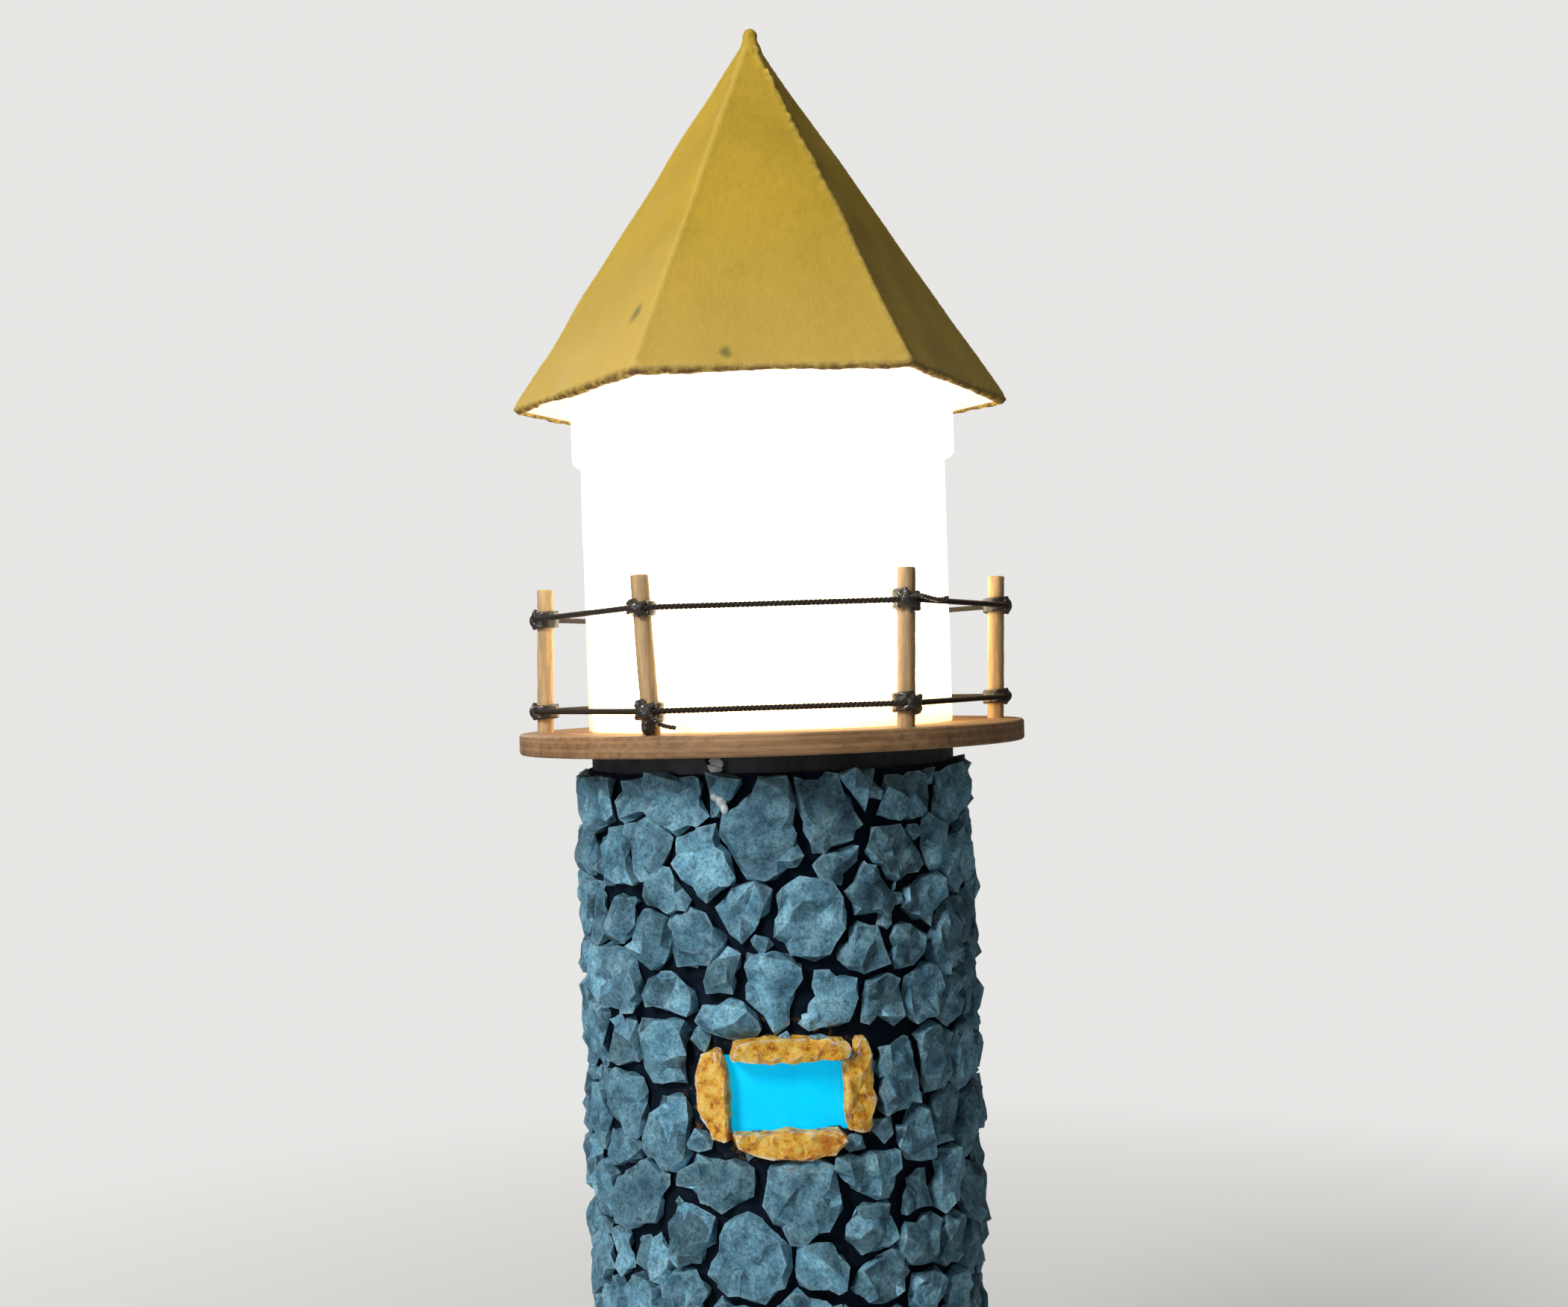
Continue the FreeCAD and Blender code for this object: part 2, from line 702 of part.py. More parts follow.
def make_roof():
    for side in range(rail_sides):
        save("roof_panel_%d" % (side + 1), roof_panel(side))
    under = pyramid(panel_thick + glue_gap, eave)
    board = under.common(cylinder(roof_radius, eave, eave + roof_frame_thick))
    save("roof_frame", board.cut(cylinder(roof_frame_hole, eave, eave + roof_frame_thick)))
    inner = diffuser_radius + lift_gap
    save("roof_collar", ring(inner + collar_wall, inner, eave - collar_height, eave))
    ball = Part.makeSphere(tip_radius, point(0, 0, eave + roof_height - tip_radius / 2))
    save("roof_tip", ball.cut(pyramid(0, eave)))


# ---- terminal block, flex and cable gland

def routed(points, radius):
    """Tube of straight runs joined by tangent arcs, as large as the shorter run allows."""
    edges = []
    start = points[0]
    for before, here, after in zip(points, points[1:], points[2:]):
        come, go = (here - before).normalize(), (after - here).normalize()
        turn = come.getAngle(go)
        cut = 0.45 * min((here - before).Length, (after - here).Length)
        bend = cut / math.tan(turn / 2)
        print("flex bend", round(bend, 1))
        begin, end = here - come * cut, here + go * cut
        centre = here + (go - come).normalize() * (bend / math.cos(turn / 2))
        middle = centre + (here - centre).normalize() * bend
        edges.append(Part.makeLine(start, begin))
        edges.append(Part.Arc(begin, middle, end).toShape())
        start = end
    edges.append(Part.makeLine(start, points[-1]))
    return swept(Part.Wire(edges), radius)


def make_wiring():
    low, top = plug_top, plug_top + block_height
    block = Part.makeBox(block_width, block_depth, block_height,
                         point(-block_width / 2, block_back - block_depth, low))
    for x in (-block_wires, block_wires):
        block = block.cut(Part.makeCylinder(block_bore, block_depth,
                                            point(x, block_back - block_depth, low + block_height / 2),
                                            point(0, 1, 0)))
    block = drilled(block, clamp_screw, clamp_places)
    save("terminal_block", drilled(block, block_screw, block_places))
    save("terminal_screws", Part.makeCompound([screws(clamp_screw, clamp_places),
                                               screws(block_screw, block_places)]))
    z = low + block_height / 2
    points = [point(0, block_back - block_depth, z)]
    points += [point(0, y, z + up) for y, up in flex_rise]
    points.append(point(0, 0, gallery_top + nipple_above + 1))
    save("inner_flex", routed(points, flex_radius))


def at_gland(shape):
    """Turns a shape made along +Z so that its height is the distance from the tower's axis."""
    return aim(shape, point(0, 0, gland_height), point(0, 1, 0))


def make_gland():
    flange_top = gland_seat + gland_flange
    body = cylinder(gland_thread, gland_reach_in, gland_seat)
    body = body.fuse(hexagon(gland_flats, gland_seat, flange_top))
    body = body.fuse(cylinder(gland_neck_radius, flange_top, flange_top + gland_neck))
    body = body.cut(cylinder(gland_mouth, gland_reach_in, flange_top + gland_neck))
    save("gland_body", at_gland(body.removeSplitter()))

    corner = locknut_flats / math.sqrt(3)
    outer_face = math.sqrt(pipe_inner ** 2 - corner ** 2) - 2 * glue_gap
    nut = hexagon(locknut_flats, outer_face - locknut_thick, outer_face)
    nut = nut.cut(cylinder(gland_thread + glue_gap, outer_face - locknut_thick, outer_face))
    save("gland_locknut", at_gland(nut))

    seal = ring(gland_seal_radius, gland_thread + glue_gap, pipe_inner, gland_seat)
    save("gland_seal", at_gland(seal).cut(cylinder(pipe_radius + glue_gap, 0, pipe_top)))

    low = flange_top + slip_gap
    flats_top = low + gland_neck
    top = low + gland_nut_length
    dome = gland_flats / 2 - 0.4
    cap = hexagon(gland_flats, low, flats_top)
    cap = cap.fuse(turned([(0, flats_top), (dome, flats_top), (dome, flats_top + 2),
                           (gland_neck_radius, top), (0, top)]))
    insert_radius = gland_neck_radius - 0.8
    insert_low, insert_top = flats_top + 2 * glue_gap, top - 2.5
    cap = cap.cut(cylinder(gland_neck_radius + glue_gap, low, flats_top + glue_gap))
    cap = cap.cut(cylinder(insert_radius, low, insert_top))
    cap = cap.cut(cylinder(gland_mouth, low, top))
    save("gland_nut", at_gland(cap.removeSplitter()))
    save("gland_insert", at_gland(ring(insert_radius - glue_gap, gland_mouth, insert_low,
                                       insert_top - glue_gap)))


make_base()
make_tower()
make_window()
make_stones()
make_gallery()
make_lantern()
make_lampholder()
make_bulb()
make_roof()
make_wiring()
make_gland()
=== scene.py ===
# %% [markdown]
# # A stone-clad garden lighthouse
# The engineered model is already made, so this lesson starts by loading it as a fixed frame.
# Every piece is in metres, with +Z up and the window facing -Y.

# %% Load the frame
import math
import random

import bpy
from mathutils import Matrix, Vector, kdtree


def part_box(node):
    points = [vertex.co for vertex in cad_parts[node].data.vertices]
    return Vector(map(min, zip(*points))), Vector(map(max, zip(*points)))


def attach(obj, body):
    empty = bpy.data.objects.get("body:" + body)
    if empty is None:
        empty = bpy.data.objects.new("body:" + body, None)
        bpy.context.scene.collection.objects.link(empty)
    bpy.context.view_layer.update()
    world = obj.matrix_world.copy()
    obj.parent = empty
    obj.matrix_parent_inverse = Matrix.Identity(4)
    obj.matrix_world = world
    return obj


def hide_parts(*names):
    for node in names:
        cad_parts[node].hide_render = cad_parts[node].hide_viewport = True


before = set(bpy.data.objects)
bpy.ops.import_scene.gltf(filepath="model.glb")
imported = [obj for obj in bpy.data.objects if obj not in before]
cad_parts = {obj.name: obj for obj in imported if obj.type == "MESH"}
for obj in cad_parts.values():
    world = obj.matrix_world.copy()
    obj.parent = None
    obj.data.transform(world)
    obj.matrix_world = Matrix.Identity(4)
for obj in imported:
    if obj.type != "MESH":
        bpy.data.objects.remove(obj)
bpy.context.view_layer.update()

MM = 0.001

# %% [markdown]
# A few heights and radii are read from the frame once and get names, so that nothing below
# repeats a number that the frame already knows.

# %% Measure the frame
pipe_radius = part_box("tower_pipe")[1].x
gallery_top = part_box("gallery_disc")[1].z
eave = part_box("roof_frame")[0].z
apex = max(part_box("roof_panel_%d" % side)[1].z for side in range(1, 7))
window_low, window_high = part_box("window_film")
window_middle = (window_low + window_high) / 2
print("gallery at", round(gallery_top, 4), "eave at", round(eave, 4), "apex at", round(apex, 4))

# %% [markdown]
# ## Working by hand, in code
# Every operator acts on what is selected, so one helper selects a single piece first. Two more
# helpers carry most of the lesson: one copies a frame piece into a clean, joined mesh, and one
# adds a modifier and applies it at once, as a click on Apply would. The last one hands a finished
# piece to the frame.

# %% Helpers for shaping
def only(piece):
    bpy.ops.object.select_all(action="DESELECT")
    piece.select_set(True)
    bpy.context.view_layer.objects.active = piece
    return piece


def linked(name, data):
    """A new object for a mesh, curve, lamp or camera, put into the scene."""
    made = bpy.data.objects.new(name, data)
    bpy.context.scene.collection.objects.link(made)
    return made


def settle():
    """Moves the active piece's place, turn and scale into its mesh."""
    bpy.ops.object.transform_apply(location=True, rotation=True, scale=True)
    return bpy.context.object


def copy_of(node, name):
    """A copy of a frame piece with its loose triangles joined into whole faces."""
    piece = only(linked(name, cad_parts[node].data.copy()))
    piece.data.materials.clear()
    bpy.ops.object.mode_set(mode="EDIT")
    bpy.ops.mesh.select_all(action="SELECT")
    bpy.ops.mesh.remove_doubles(threshold=0.002 * MM)
    bpy.ops.mesh.dissolve_limited(angle_limit=math.radians(0.3))
    bpy.ops.object.mode_set(mode="OBJECT")
    return piece


def modify(piece, kind, **settings):
    modifier = piece.modifiers.new(kind.lower(), kind)
    for key, value in settings.items():
        setattr(modifier, key, value)
    only(piece)
    bpy.ops.object.modifier_apply(modifier=modifier.name)


def voxels(piece, size):
    modify(piece, "REMESH", mode="VOXEL", voxel_size=size)


def round_edges(piece, width, segments=2, sharp=0.7):
    modify(piece, "BEVEL", width=width, segments=segments, limit_method="ANGLE", angle_limit=sharp)


def clouds(size, depth=2, contrast=1.0):
    texture = bpy.data.textures.new("clouds", "CLOUDS")
    texture.noise_scale, texture.noise_depth, texture.contrast = size, depth, contrast
    return texture


def push(piece, texture, strength, group="", direction="NORMAL"):
    modify(piece, "DISPLACE", texture=texture, strength=strength, mid_level=0.5,
           texture_coords="LOCAL", vertex_group=group, direction=direction)


def smooth(piece, angle=35):
    only(piece)
    bpy.ops.object.shade_smooth_by_angle(angle=math.radians(angle))


def place(piece, body, slot, finish, *nodes):
    """Gives a finished piece its body, its material and the frame pieces it stands for; its slot is not used.
    """
    only(piece)
    settle()
    piece.data.materials.clear()
    piece.data.materials.append(finish)
    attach(piece, body)
    if nodes:
        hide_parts(*nodes)
    print(piece.name, len(piece.data.polygons), "faces")


# %% [markdown]
# ## Building finishes from nodes
# A finish is a small network: noise at the scale of the real grain, colour ramps over that noise,
# and a bump. A few helpers keep each network short enough to read.

# %% Helpers for finishes
def new_finish(name, roughness, **sockets):
    finish = bpy.data.materials.new(name)
    finish.use_nodes = True
    shader = finish.node_tree.nodes["Principled BSDF"]
    shader.inputs["Roughness"].default_value = roughness
    for key, value in sockets.items():
        shader.inputs[key.replace("_", " ")].default_value = value
    return finish


def node(finish, kind, inputs=(), **settings):
    """Adds a node; its inputs are values, or sockets of other nodes to link from."""
    made = finish.node_tree.nodes.new("ShaderNode" + kind)
    for key, value in settings.items():
        setattr(made, key, value)
    for key, value in dict(inputs).items():
        if isinstance(value, bpy.types.NodeSocket):
            finish.node_tree.links.new(value, made.inputs[key])
        else:
            made.inputs[key].default_value = value
    return made


def where(finish, stretch=(1, 1, 1)):
    """Object coordinates, squeezed along the axes where a grain runs long."""
    spot = node(finish, "TexCoord").outputs["Object"]
    return node(finish, "Mapping", {"Vector": spot, "Scale": stretch}).outputs["Vector"]


def noise(finish, spot, per_metre, detail=4, rough=0.6):
    return node(finish, "TexNoise", {"Vector": spot, "Scale": per_metre, "Detail": detail,
                                     "Roughness": rough}).outputs["Fac"]


def ramp(finish, factor, *stops):
    made = node(finish, "ValToRGB", {"Fac": factor})
    band = made.color_ramp
    while len(band.elements) < len(stops):
        band.elements.new(0.5)
    for element, (at, colour) in zip(band.elements, stops):
        element.position = at
        element.color = (*colour, 1) if isinstance(colour, tuple) else (colour, colour, colour, 1)
    return made.outputs["Color"]


def blend(finish, factor, first, second, way="MIX"):
    made = node(finish, "Mix", data_type="RGBA", blend_type=way)
    for key, value in ((0, factor), (6, first), (7, second)):
        if isinstance(value, bpy.types.NodeSocket):
            finish.node_tree.links.new(value, made.inputs[key])
        else:
            made.inputs[key].default_value = (*value, 1) if isinstance(value, tuple) else value
    return made.outputs[2]


def upward(finish, vector):
    return node(finish, "SeparateXYZ", {"Vector": vector}).outputs["Z"]


def surface(finish, reading):
    """What the surface itself says: its Normal, its Pointiness or a Random Per Island number."""
    return node(finish, "NewGeometry").outputs[reading]


def sums(finish, way, first, second):
    return node(finish, "Math", {0: first, 1: second}, operation=way).outputs[0]


def colour_with(finish, colour, height=None, depth=0.3 * MM, rough=None):
    """Joins a colour, a bump height and a roughness to the finish's shader."""
    shader = finish.node_tree.nodes["Principled BSDF"]
    links = finish.node_tree.links
    links.new(colour, shader.inputs["Base Color"])
    if height is not None:
        bump = node(finish, "Bump", {"Height": height, "Distance": depth, "Strength": 0.8})
        links.new(bump.outputs["Normal"], shader.inputs["Normal"])
    if rough is not None:
        links.new(rough, shader.inputs["Roughness"])
    return finish


def glow_with(finish, colour):
    shader = finish.node_tree.nodes["Principled BSDF"]
    finish.node_tree.links.new(colour, shader.inputs["Emission Color"])


# %% [markdown]
# ## Stone
# The chips are crushed slate: blue-grey, granular, each a little lighter or darker than the next,
# with a pale blue painted highlight on their edges. Ochre paint that missed the window's frame has
# stained the chips beside it, so a mask fades outwards from the window and is broken up by noise.
# Random Per Island gives every loose chip of a joined mesh its own tone.

# %% Slate finish
stain_reach = 24 * MM
stain_stretch = 1.35


def near_window(finish):
    """1 close to the window and 0 past the stain's reach, measured as seen from the front."""
    spot = node(finish, "TexCoord").outputs["Object"]
    scale = (1 / (stain_reach * stain_stretch), 0, 1 / stain_reach)
    shifted = node(finish, "VectorMath", {0: spot, 1: tuple(window_middle)}, operation="SUBTRACT")
    shaped = node(finish, "VectorMath", {0: shifted.outputs[0], 1: scale}, operation="MULTIPLY")
    far = node(finish, "VectorMath", {0: shaped.outputs[0]}, operation="LENGTH").outputs["Value"]
    front = node(finish, "SeparateXYZ", {"Vector": spot}).outputs["Y"]
    ahead = sums(finish, "LESS_THAN", front, 0.0)
    ring = ramp(finish, far, (0.7, 1.0), (1.0, 0.0))
    return sums(finish, "MULTIPLY", ring, ahead)


def slate_finish():
    finish = new_finish("slate", 0.6, Specular_IOR_Level=0.35)
    spot = where(finish)
    broad = noise(finish, spot, 130, 5)
    grain = noise(finish, spot, 1100, 5, 0.75)
    body = ramp(finish, broad, (0.32, (0.056, 0.165, 0.255)), (0.5, (0.135, 0.33, 0.46)),
                (0.7, (0.275, 0.545, 0.68)))
    tones = ramp(finish, surface(finish, "Random Per Island"), (0.0, 0.5), (0.5, 0.9), (1.0, 1.35))
    specks = ramp(finish, grain, (0.36, 0.4), (0.5, 1.0), (0.64, 1.6))
    pits = ramp(finish, noise(finish, spot, 420, 4, 0.65), (0.36, 0.3), (0.48, 1.0))
    for strength, layer in ((1.0, tones), (0.7, specks), (0.65, pits)):
        body = blend(finish, strength, body, layer, "MULTIPLY")
    # Painted highlight: the edges that Pointiness finds are lightened to a pale blue.
    rim = ramp(finish, surface(finish, "Pointiness"), (0.52, 0.0), (0.58, 0.55))
    body = blend(finish, rim, body, (0.32, 0.53, 0.64))
    stain = sums(finish, "MULTIPLY", near_window(finish),
                 ramp(finish, noise(finish, spot, 330, 5, 0.7), (0.55, 0.0), (0.62, 0.8)))
    body = blend(finish, stain, body, (0.24, 0.14, 0.035))
    height = sums(finish, "ADD", grain, noise(finish, spot, 450, 5, 0.75))
    return colour_with(finish, body, height, 0.5 * MM, ramp(finish, broad, (0.3, 0.45), (0.7, 0.7)))


slate = slate_finish()
print("finish", slate.name)

# %% [markdown]
# ## The stone chips
# The frame holds each chip as a flat-faced block. A real chip is broken, not cut. Each band of
# chips is copied and remeshed into small even squares, so that cloud noise can bend it out of
# shape. Decimating then collapses the squares into a few large triangles, and those are the flat
# breaks of crushed slate. A last fine subdivision carries the grit.

# %% Break the chips
lean_noise = clouds(12 * MM, 1, 1.6)
lump_noise = clouds(4.5 * MM, 2, 1.6)
grit_noise = clouds(0.9 * MM, 1)


def break_up(piece, voxel, lean, bend, grow, keep, grit, lumps=lump_noise):
    """Bends and swells a block, then leaves only the given share of its faces, with grit on them."""
    voxels(piece, voxel)
    push(piece, lean_noise, lean)
    push(piece, lumps, bend)
    push(piece, None, 2 * grow)
    modify(piece, "DECIMATE", ratio=keep)
    modify(piece, "SUBSURF", subdivision_type="SIMPLE", levels=2)
    push(piece, grit_noise, grit)
    smooth(piece, 28)


stone_bands = []
for band in range(1, 6):
    chips = copy_of("stones_band_%d" % band, "slate_chips_%d" % band)
    break_up(chips, voxel=1.0 * MM, lean=3.0 * MM, bend=2.6 * MM, grow=0.55 * MM, keep=0.068, grit=0.32 * MM)
    place(chips, "root", "slate_stone", slate, "stones_band_%d" % band)
    stone_bands.append(chips)

# %% [markdown]
# ## Filler chips
# Where large chips leave a wide gap, the maker pressed in small ones. Four little chips are
# modelled. Then spots are drawn at random on the tower, the widest gaps are filled first, and each
# chip is turned and scaled to the free room round its spot.

# %% Fill the gaps
def spot_on_tower(turn, radius, height):
    """A point at an angle from the front, in radians towards +X."""
    return Vector((radius * math.sin(turn), -radius * math.cos(turn), height))


def joined(pieces, name):
    only(pieces[0])
    for piece in pieces:
        piece.select_set(True)
    bpy.ops.object.join()
    pieces[0].name = name
    return pieces[0]


draw = random.Random(7)
chip_shapes = []
for number in range(4):
    apart = Vector((number * 3, 0, 0))
    bpy.ops.mesh.primitive_ico_sphere_add(subdivisions=3, radius=1, location=apart)
    shape = settle()
    push(shape, clouds(0.9), 1.1)
    modify(shape, "DECIMATE", ratio=0.05)
    shape.data.transform(Matrix.Translation(-apart))
    chip_shapes.append(shape)

frame_stones = ["window_lintel", "window_sill", "window_jamb_left", "window_jamb_right"]
solid_points = [v.co for band in stone_bands for v in band.data.vertices]
for name in frame_stones + ["gland_body"]:
    solid_points += [v.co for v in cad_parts[name].data.vertices]
near = kdtree.KDTree(len(solid_points))
for index, place_at in enumerate(solid_points):
    near.insert(place_at, index)
near.balance()

chip_radius = pipe_radius + 2.6 * MM
spot_count = 16000
bed_low, bed_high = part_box("mortar_bed")
low_edge, high_edge = bed_low.z + 3 * MM, bed_high.z - 2.5 * MM
spots = [spot_on_tower(draw.uniform(-math.pi, math.pi), chip_radius, draw.uniform(low_edge, high_edge))
         for count in range(spot_count)]
roomy = sorted(((near.find(spot)[2], spot) for spot in spots), key=lambda pair: -pair[0])
window_half = (window_high - window_low) / 2
least_room, largest_chip, most_chips = 1.7 * MM, 4 * MM, 421


def in_window(spot):
    off = spot - window_middle
    return spot.y < 0 and abs(off.x) < window_half.x and abs(off.z) < window_half.z


fillers = []
for room, spot in roomy:
    if room < least_room or len(fillers) == most_chips:
        break
    if in_window(spot) or any((spot - other).length < room + size for other, size, shape in fillers):
        continue
    fillers.append((spot, min(room, largest_chip), draw.choice(chip_shapes)))
print(len(fillers), "gaps to fill")

# %% Set the filler chips
chip_depth = 2.1 * MM
chips = []
for spot, size, shape in fillers:
    chip = linked("chip", shape.data.copy())
    turn = Matrix.Rotation(math.atan2(spot.x, -spot.y), 4, "Z")
    tumble = Matrix.Rotation(draw.uniform(0, 6.28), 4, "Y")
    shape_size = Matrix.Diagonal((size * 1.25, chip_depth, size * 0.95, 1))
    chip.data.transform(Matrix.Translation(spot) @ turn @ tumble @ shape_size)
    chips.append(chip)
for shape in chip_shapes:
    bpy.data.objects.remove(shape)
chips = joined(chips, "slate_fillers")
modify(chips, "SUBSURF", subdivision_type="SIMPLE", levels=2)
push(chips, grit_noise, 0.3 * MM)
smooth(chips, 28)
place(chips, "root", "slate_stone", slate)

# %% [markdown]
# ## The bedding between the chips
# A dark compound holds the chips, and is pressed up unevenly between them. It is a tall ring, so
# one upright profile is spun round the axis. Two cutters open it for the window and the cable
# gland, and noise then makes it uneven.

# %% Bedding finish
def dark_bed_finish():
    finish = new_finish("bedding", 0.65, Specular_IOR_Level=0.1)
    spot = where(finish)
    lumps = noise(finish, spot, 300, 6, 0.7)
    body = ramp(finish, lumps, (0.35, (0.001, 0.004, 0.010)), (0.7, (0.005, 0.015, 0.032)))
    stain = sums(finish, "MULTIPLY", near_window(finish),
                 ramp(finish, noise(finish, spot, 300, 4, 0.7), (0.56, 0.0), (0.64, 1.0)))
    body = blend(finish, stain, body, (0.22, 0.11, 0.02))
    return colour_with(finish, body, lumps, 0.5 * MM)


dark_bed = dark_bed_finish()
print("finish", dark_bed.name)


# %% Bedding mesh
def spun(name, corners, steps):
    """A ring made by spinning a closed profile of (radius, height) round the axis."""
    bpy.ops.mesh.primitive_circle_add(vertices=len(corners), radius=MM)
    piece = bpy.context.object
    piece.name = name
    for vertex, (radius, height) in zip(piece.data.vertices, corners):
        vertex.co = (radius, 0, height)
    bpy.ops.object.mode_set(mode="EDIT")
    bpy.ops.mesh.select_all(action="SELECT")
    bpy.ops.mesh.spin(steps=steps, angle=2 * math.pi, center=(0, 0, 0), axis=(0, 0, 1))
    bpy.ops.mesh.select_all(action="SELECT")
    bpy.ops.mesh.remove_doubles(threshold=0.002 * MM)
    bpy.ops.mesh.normals_make_consistent(inside=False)
    bpy.ops.object.mode_set(mode="OBJECT")
    return piece


def cut_away(piece, kind, **size):
    """Cuts a hole with a throw-away box or cylinder."""
    getattr(bpy.ops.mesh, "primitive_%s_add" % kind)(**size)
    cutter = settle()
    modify(piece, "BOOLEAN", operation="DIFFERENCE", object=cutter, solver="EXACT")
    bpy.data.objects.remove(cutter)


bed_rings, bed_steps = ((210, 260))
bed_height = bed_high.z - bed_low.z
outer = [(bed_high.x, bed_low.z + bed_height * ring / bed_rings) for ring in range(bed_rings + 1)]
inner_radius = pipe_radius + 0.1 * MM
bed = spun("bedding", outer + [(inner_radius, bed_high.z), (inner_radius, bed_low.z)], bed_steps)

cutter_depth = 30 * MM
film_size = window_high - window_low
cut_away(bed, "cube", size=1, location=(window_middle.x, -pipe_radius, window_middle.z),
         scale=(film_size.x - 2 * MM, cutter_depth, film_size.z - 3 * MM))
gland_z = sum(corner.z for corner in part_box("gland_body")) / 2
gland_hole = 12 * MM
cut_away(bed, "cylinder", radius=gland_hole, depth=cutter_depth, location=(0, pipe_radius, gland_z),
         rotation=(math.pi / 2, 0, 0))
push(bed, clouds(4 * MM), 0.9 * MM)
smooth(bed, 60)
place(bed, "root", "mortar", dark_bed, "mortar_bed")

# %% [markdown]
# ## Window
# Four stones painted ochre frame a sheet of blue film. The paint is thick and uneven: mottled
# orange, with broad rust patches, and a pale painted highlight on the rims, which Pointiness finds.
# The photograph's window is a little narrower than the frame's blocks, so they are drawn in first.

# %% Ochre finish and frame stones
def ochre_finish():
    finish = new_finish("ochre_stone", 0.45)
    spot = where(finish)
    mottle = noise(finish, spot, 300, 6, 0.78)
    body = ramp(finish, mottle, (0.34, (0.24, 0.055, 0.006)), (0.42, (0.62, 0.23, 0.012)),
                (0.50, (0.86, 0.47, 0.04)), (0.62, (0.93, 0.66, 0.16)))
    rust = ramp(finish, noise(finish, spot, 110, 3, 0.6), (0.55, 0.0), (0.66, 0.75))
    body = blend(finish, rust, body, (0.46, 0.11, 0.008))
    # Painted highlight: the rims that Pointiness finds, broken up by noise, are lightened to a pale cream.
    rim = ramp(finish, surface(finish, "Pointiness"), (0.512, 0.0), (0.545, 1.0))
    rim_highlight_breakup = ramp(finish, noise(finish, spot, 380, 3), (0.40, 0.0), (0.52, 1.0))
    painted_rim_highlight = sums(finish, "MULTIPLY", rim, rim_highlight_breakup)
    body = blend(finish, painted_rim_highlight, body, (0.88, 0.80, 0.64))
    return colour_with(finish, body, noise(finish, spot, 900, 4, 0.7), 0.3 * MM)


ochre = ochre_finish()
to_middle, from_middle = Matrix.Translation(-window_middle), Matrix.Translation(window_middle)
for name in frame_stones:
    stone = copy_of(name, "painted_" + name)
    narrower = 0.94 if "jamb" in name else 0.98
    stone.data.transform(from_middle @ Matrix.Diagonal((narrower, 1, 0.98, 1)) @ to_middle)
    break_up(stone, voxel=0.6 * MM, lean=0.6 * MM, bend=1.3 * MM, grow=0.05 * MM, keep=0.05, grit=0.28 * MM,
             lumps=clouds(4.5 * MM, 1, 1.4))
    place(stone, "root", "ochre_stone", ochre, name)

# %% [markdown]
# The film is a flat sheet first: a grid is wrapped round the pipe by its own formula, given a
# thickness, and wrinkled most at its lower right corner.

# %% Window film
def film_finish():
    finish = new_finish("blue_film", 0.28, Emission_Strength=0.6, Specular_IOR_Level=0.25)
    spot = where(finish)
    body = ramp(finish, noise(finish, spot, 60, 3), (0.3, (0.0, 0.45, 0.84)), (0.7, (0.0, 0.55, 0.93)))
    # The film glows: painted light, standing in for light shining through it from behind.
    glow_with(finish, body)
    return colour_with(finish, body, noise(finish, spot, 90, 3), 0.4 * MM)


bpy.ops.mesh.primitive_grid_add(x_subdivisions=70, y_subdivisions=46, size=1,
                                rotation=(math.pi / 2, 0, 0), location=(window_middle.x, 0, window_middle.z))
film = bpy.context.object
film.name = "window_sheet"
film.scale = (film_size.x, film_size.z, 1)
settle()
sheet_radius = -window_low.y - 0.3 * MM
wrinkle_depth = 0.35 * MM
for vertex in film.data.vertices:
    across = (vertex.co.x - window_middle.x) / window_half.x
    down = (window_middle.z - vertex.co.z) / window_half.z
    wrinkle = wrinkle_depth * max(0, across + down - 0.5) * math.sin(9 * (across - 0.6 * down))
    vertex.co = spot_on_tower(math.asin(vertex.co.x / sheet_radius), sheet_radius - wrinkle, vertex.co.z)
push(film, clouds(9 * MM), 0.3 * MM)
modify(film, "SOLIDIFY", thickness=0.2 * MM)
smooth(film, 60)
place(film, "root", "window_film", film_finish(), "window_film")

# %% [markdown]
# ## Wood
# One plywood finish serves the gallery and the base: long grain along X on the faces, and thin
# stripes of veneer where the cut edge shows. The dowels use the same network with an upright
# grain and a paler wood.

# %% Wood finishes
veneer_pitch = 2.4 * MM


def wood_finish(name, pale, dark, along, veneers=False):
    finish = new_finish(name, 0.62)
    spot = where(finish, along)
    grain = noise(finish, spot, 700, 6, 0.68)
    broad = noise(finish, spot, 120, 4)
    body = blend(finish, ramp(finish, broad, (0.35, 0.0), (0.65, 1.0)), dark, pale)
    body = blend(finish, 0.75, body, ramp(finish, grain, (0.38, 0.55), (0.58, 1.12)), "MULTIPLY")
    if veneers:
        stripes = sums(finish, "MULTIPLY", upward(finish, where(finish)), 2 * math.pi / veneer_pitch)
        wave = node(finish, "Math", {0: stripes}, operation="SINE").outputs[0]
        facing = upward(finish, surface(finish, "Normal"))
        level = node(finish, "Math", {0: facing}, operation="ABSOLUTE").outputs[0]
        mask = ramp(finish, level, (0.3, 0.28), (0.7, 0.0))
        body = blend(finish, mask, body, ramp(finish, wave, (0.2, (0.20, 0.10, 0.045)), (0.6, pale)))
        scuff = ramp(finish, noise(finish, where(finish), 260, 4), (0.6, 0.0), (0.72, 0.6))
        body = blend(finish, scuff, body, (0.13, 0.07, 0.035))
    return colour_with(finish, body, grain, 0.15 * MM)


plywood = wood_finish("plywood", (0.46, 0.265, 0.125), (0.31, 0.165, 0.07), (0.08, 1, 1), veneers=True)
dowel_wood = wood_finish("dowel", (0.74, 0.53, 0.30), (0.56, 0.36, 0.17), (1, 1, 0.07))
print("finishes", plywood.name, dowel_wood.name)

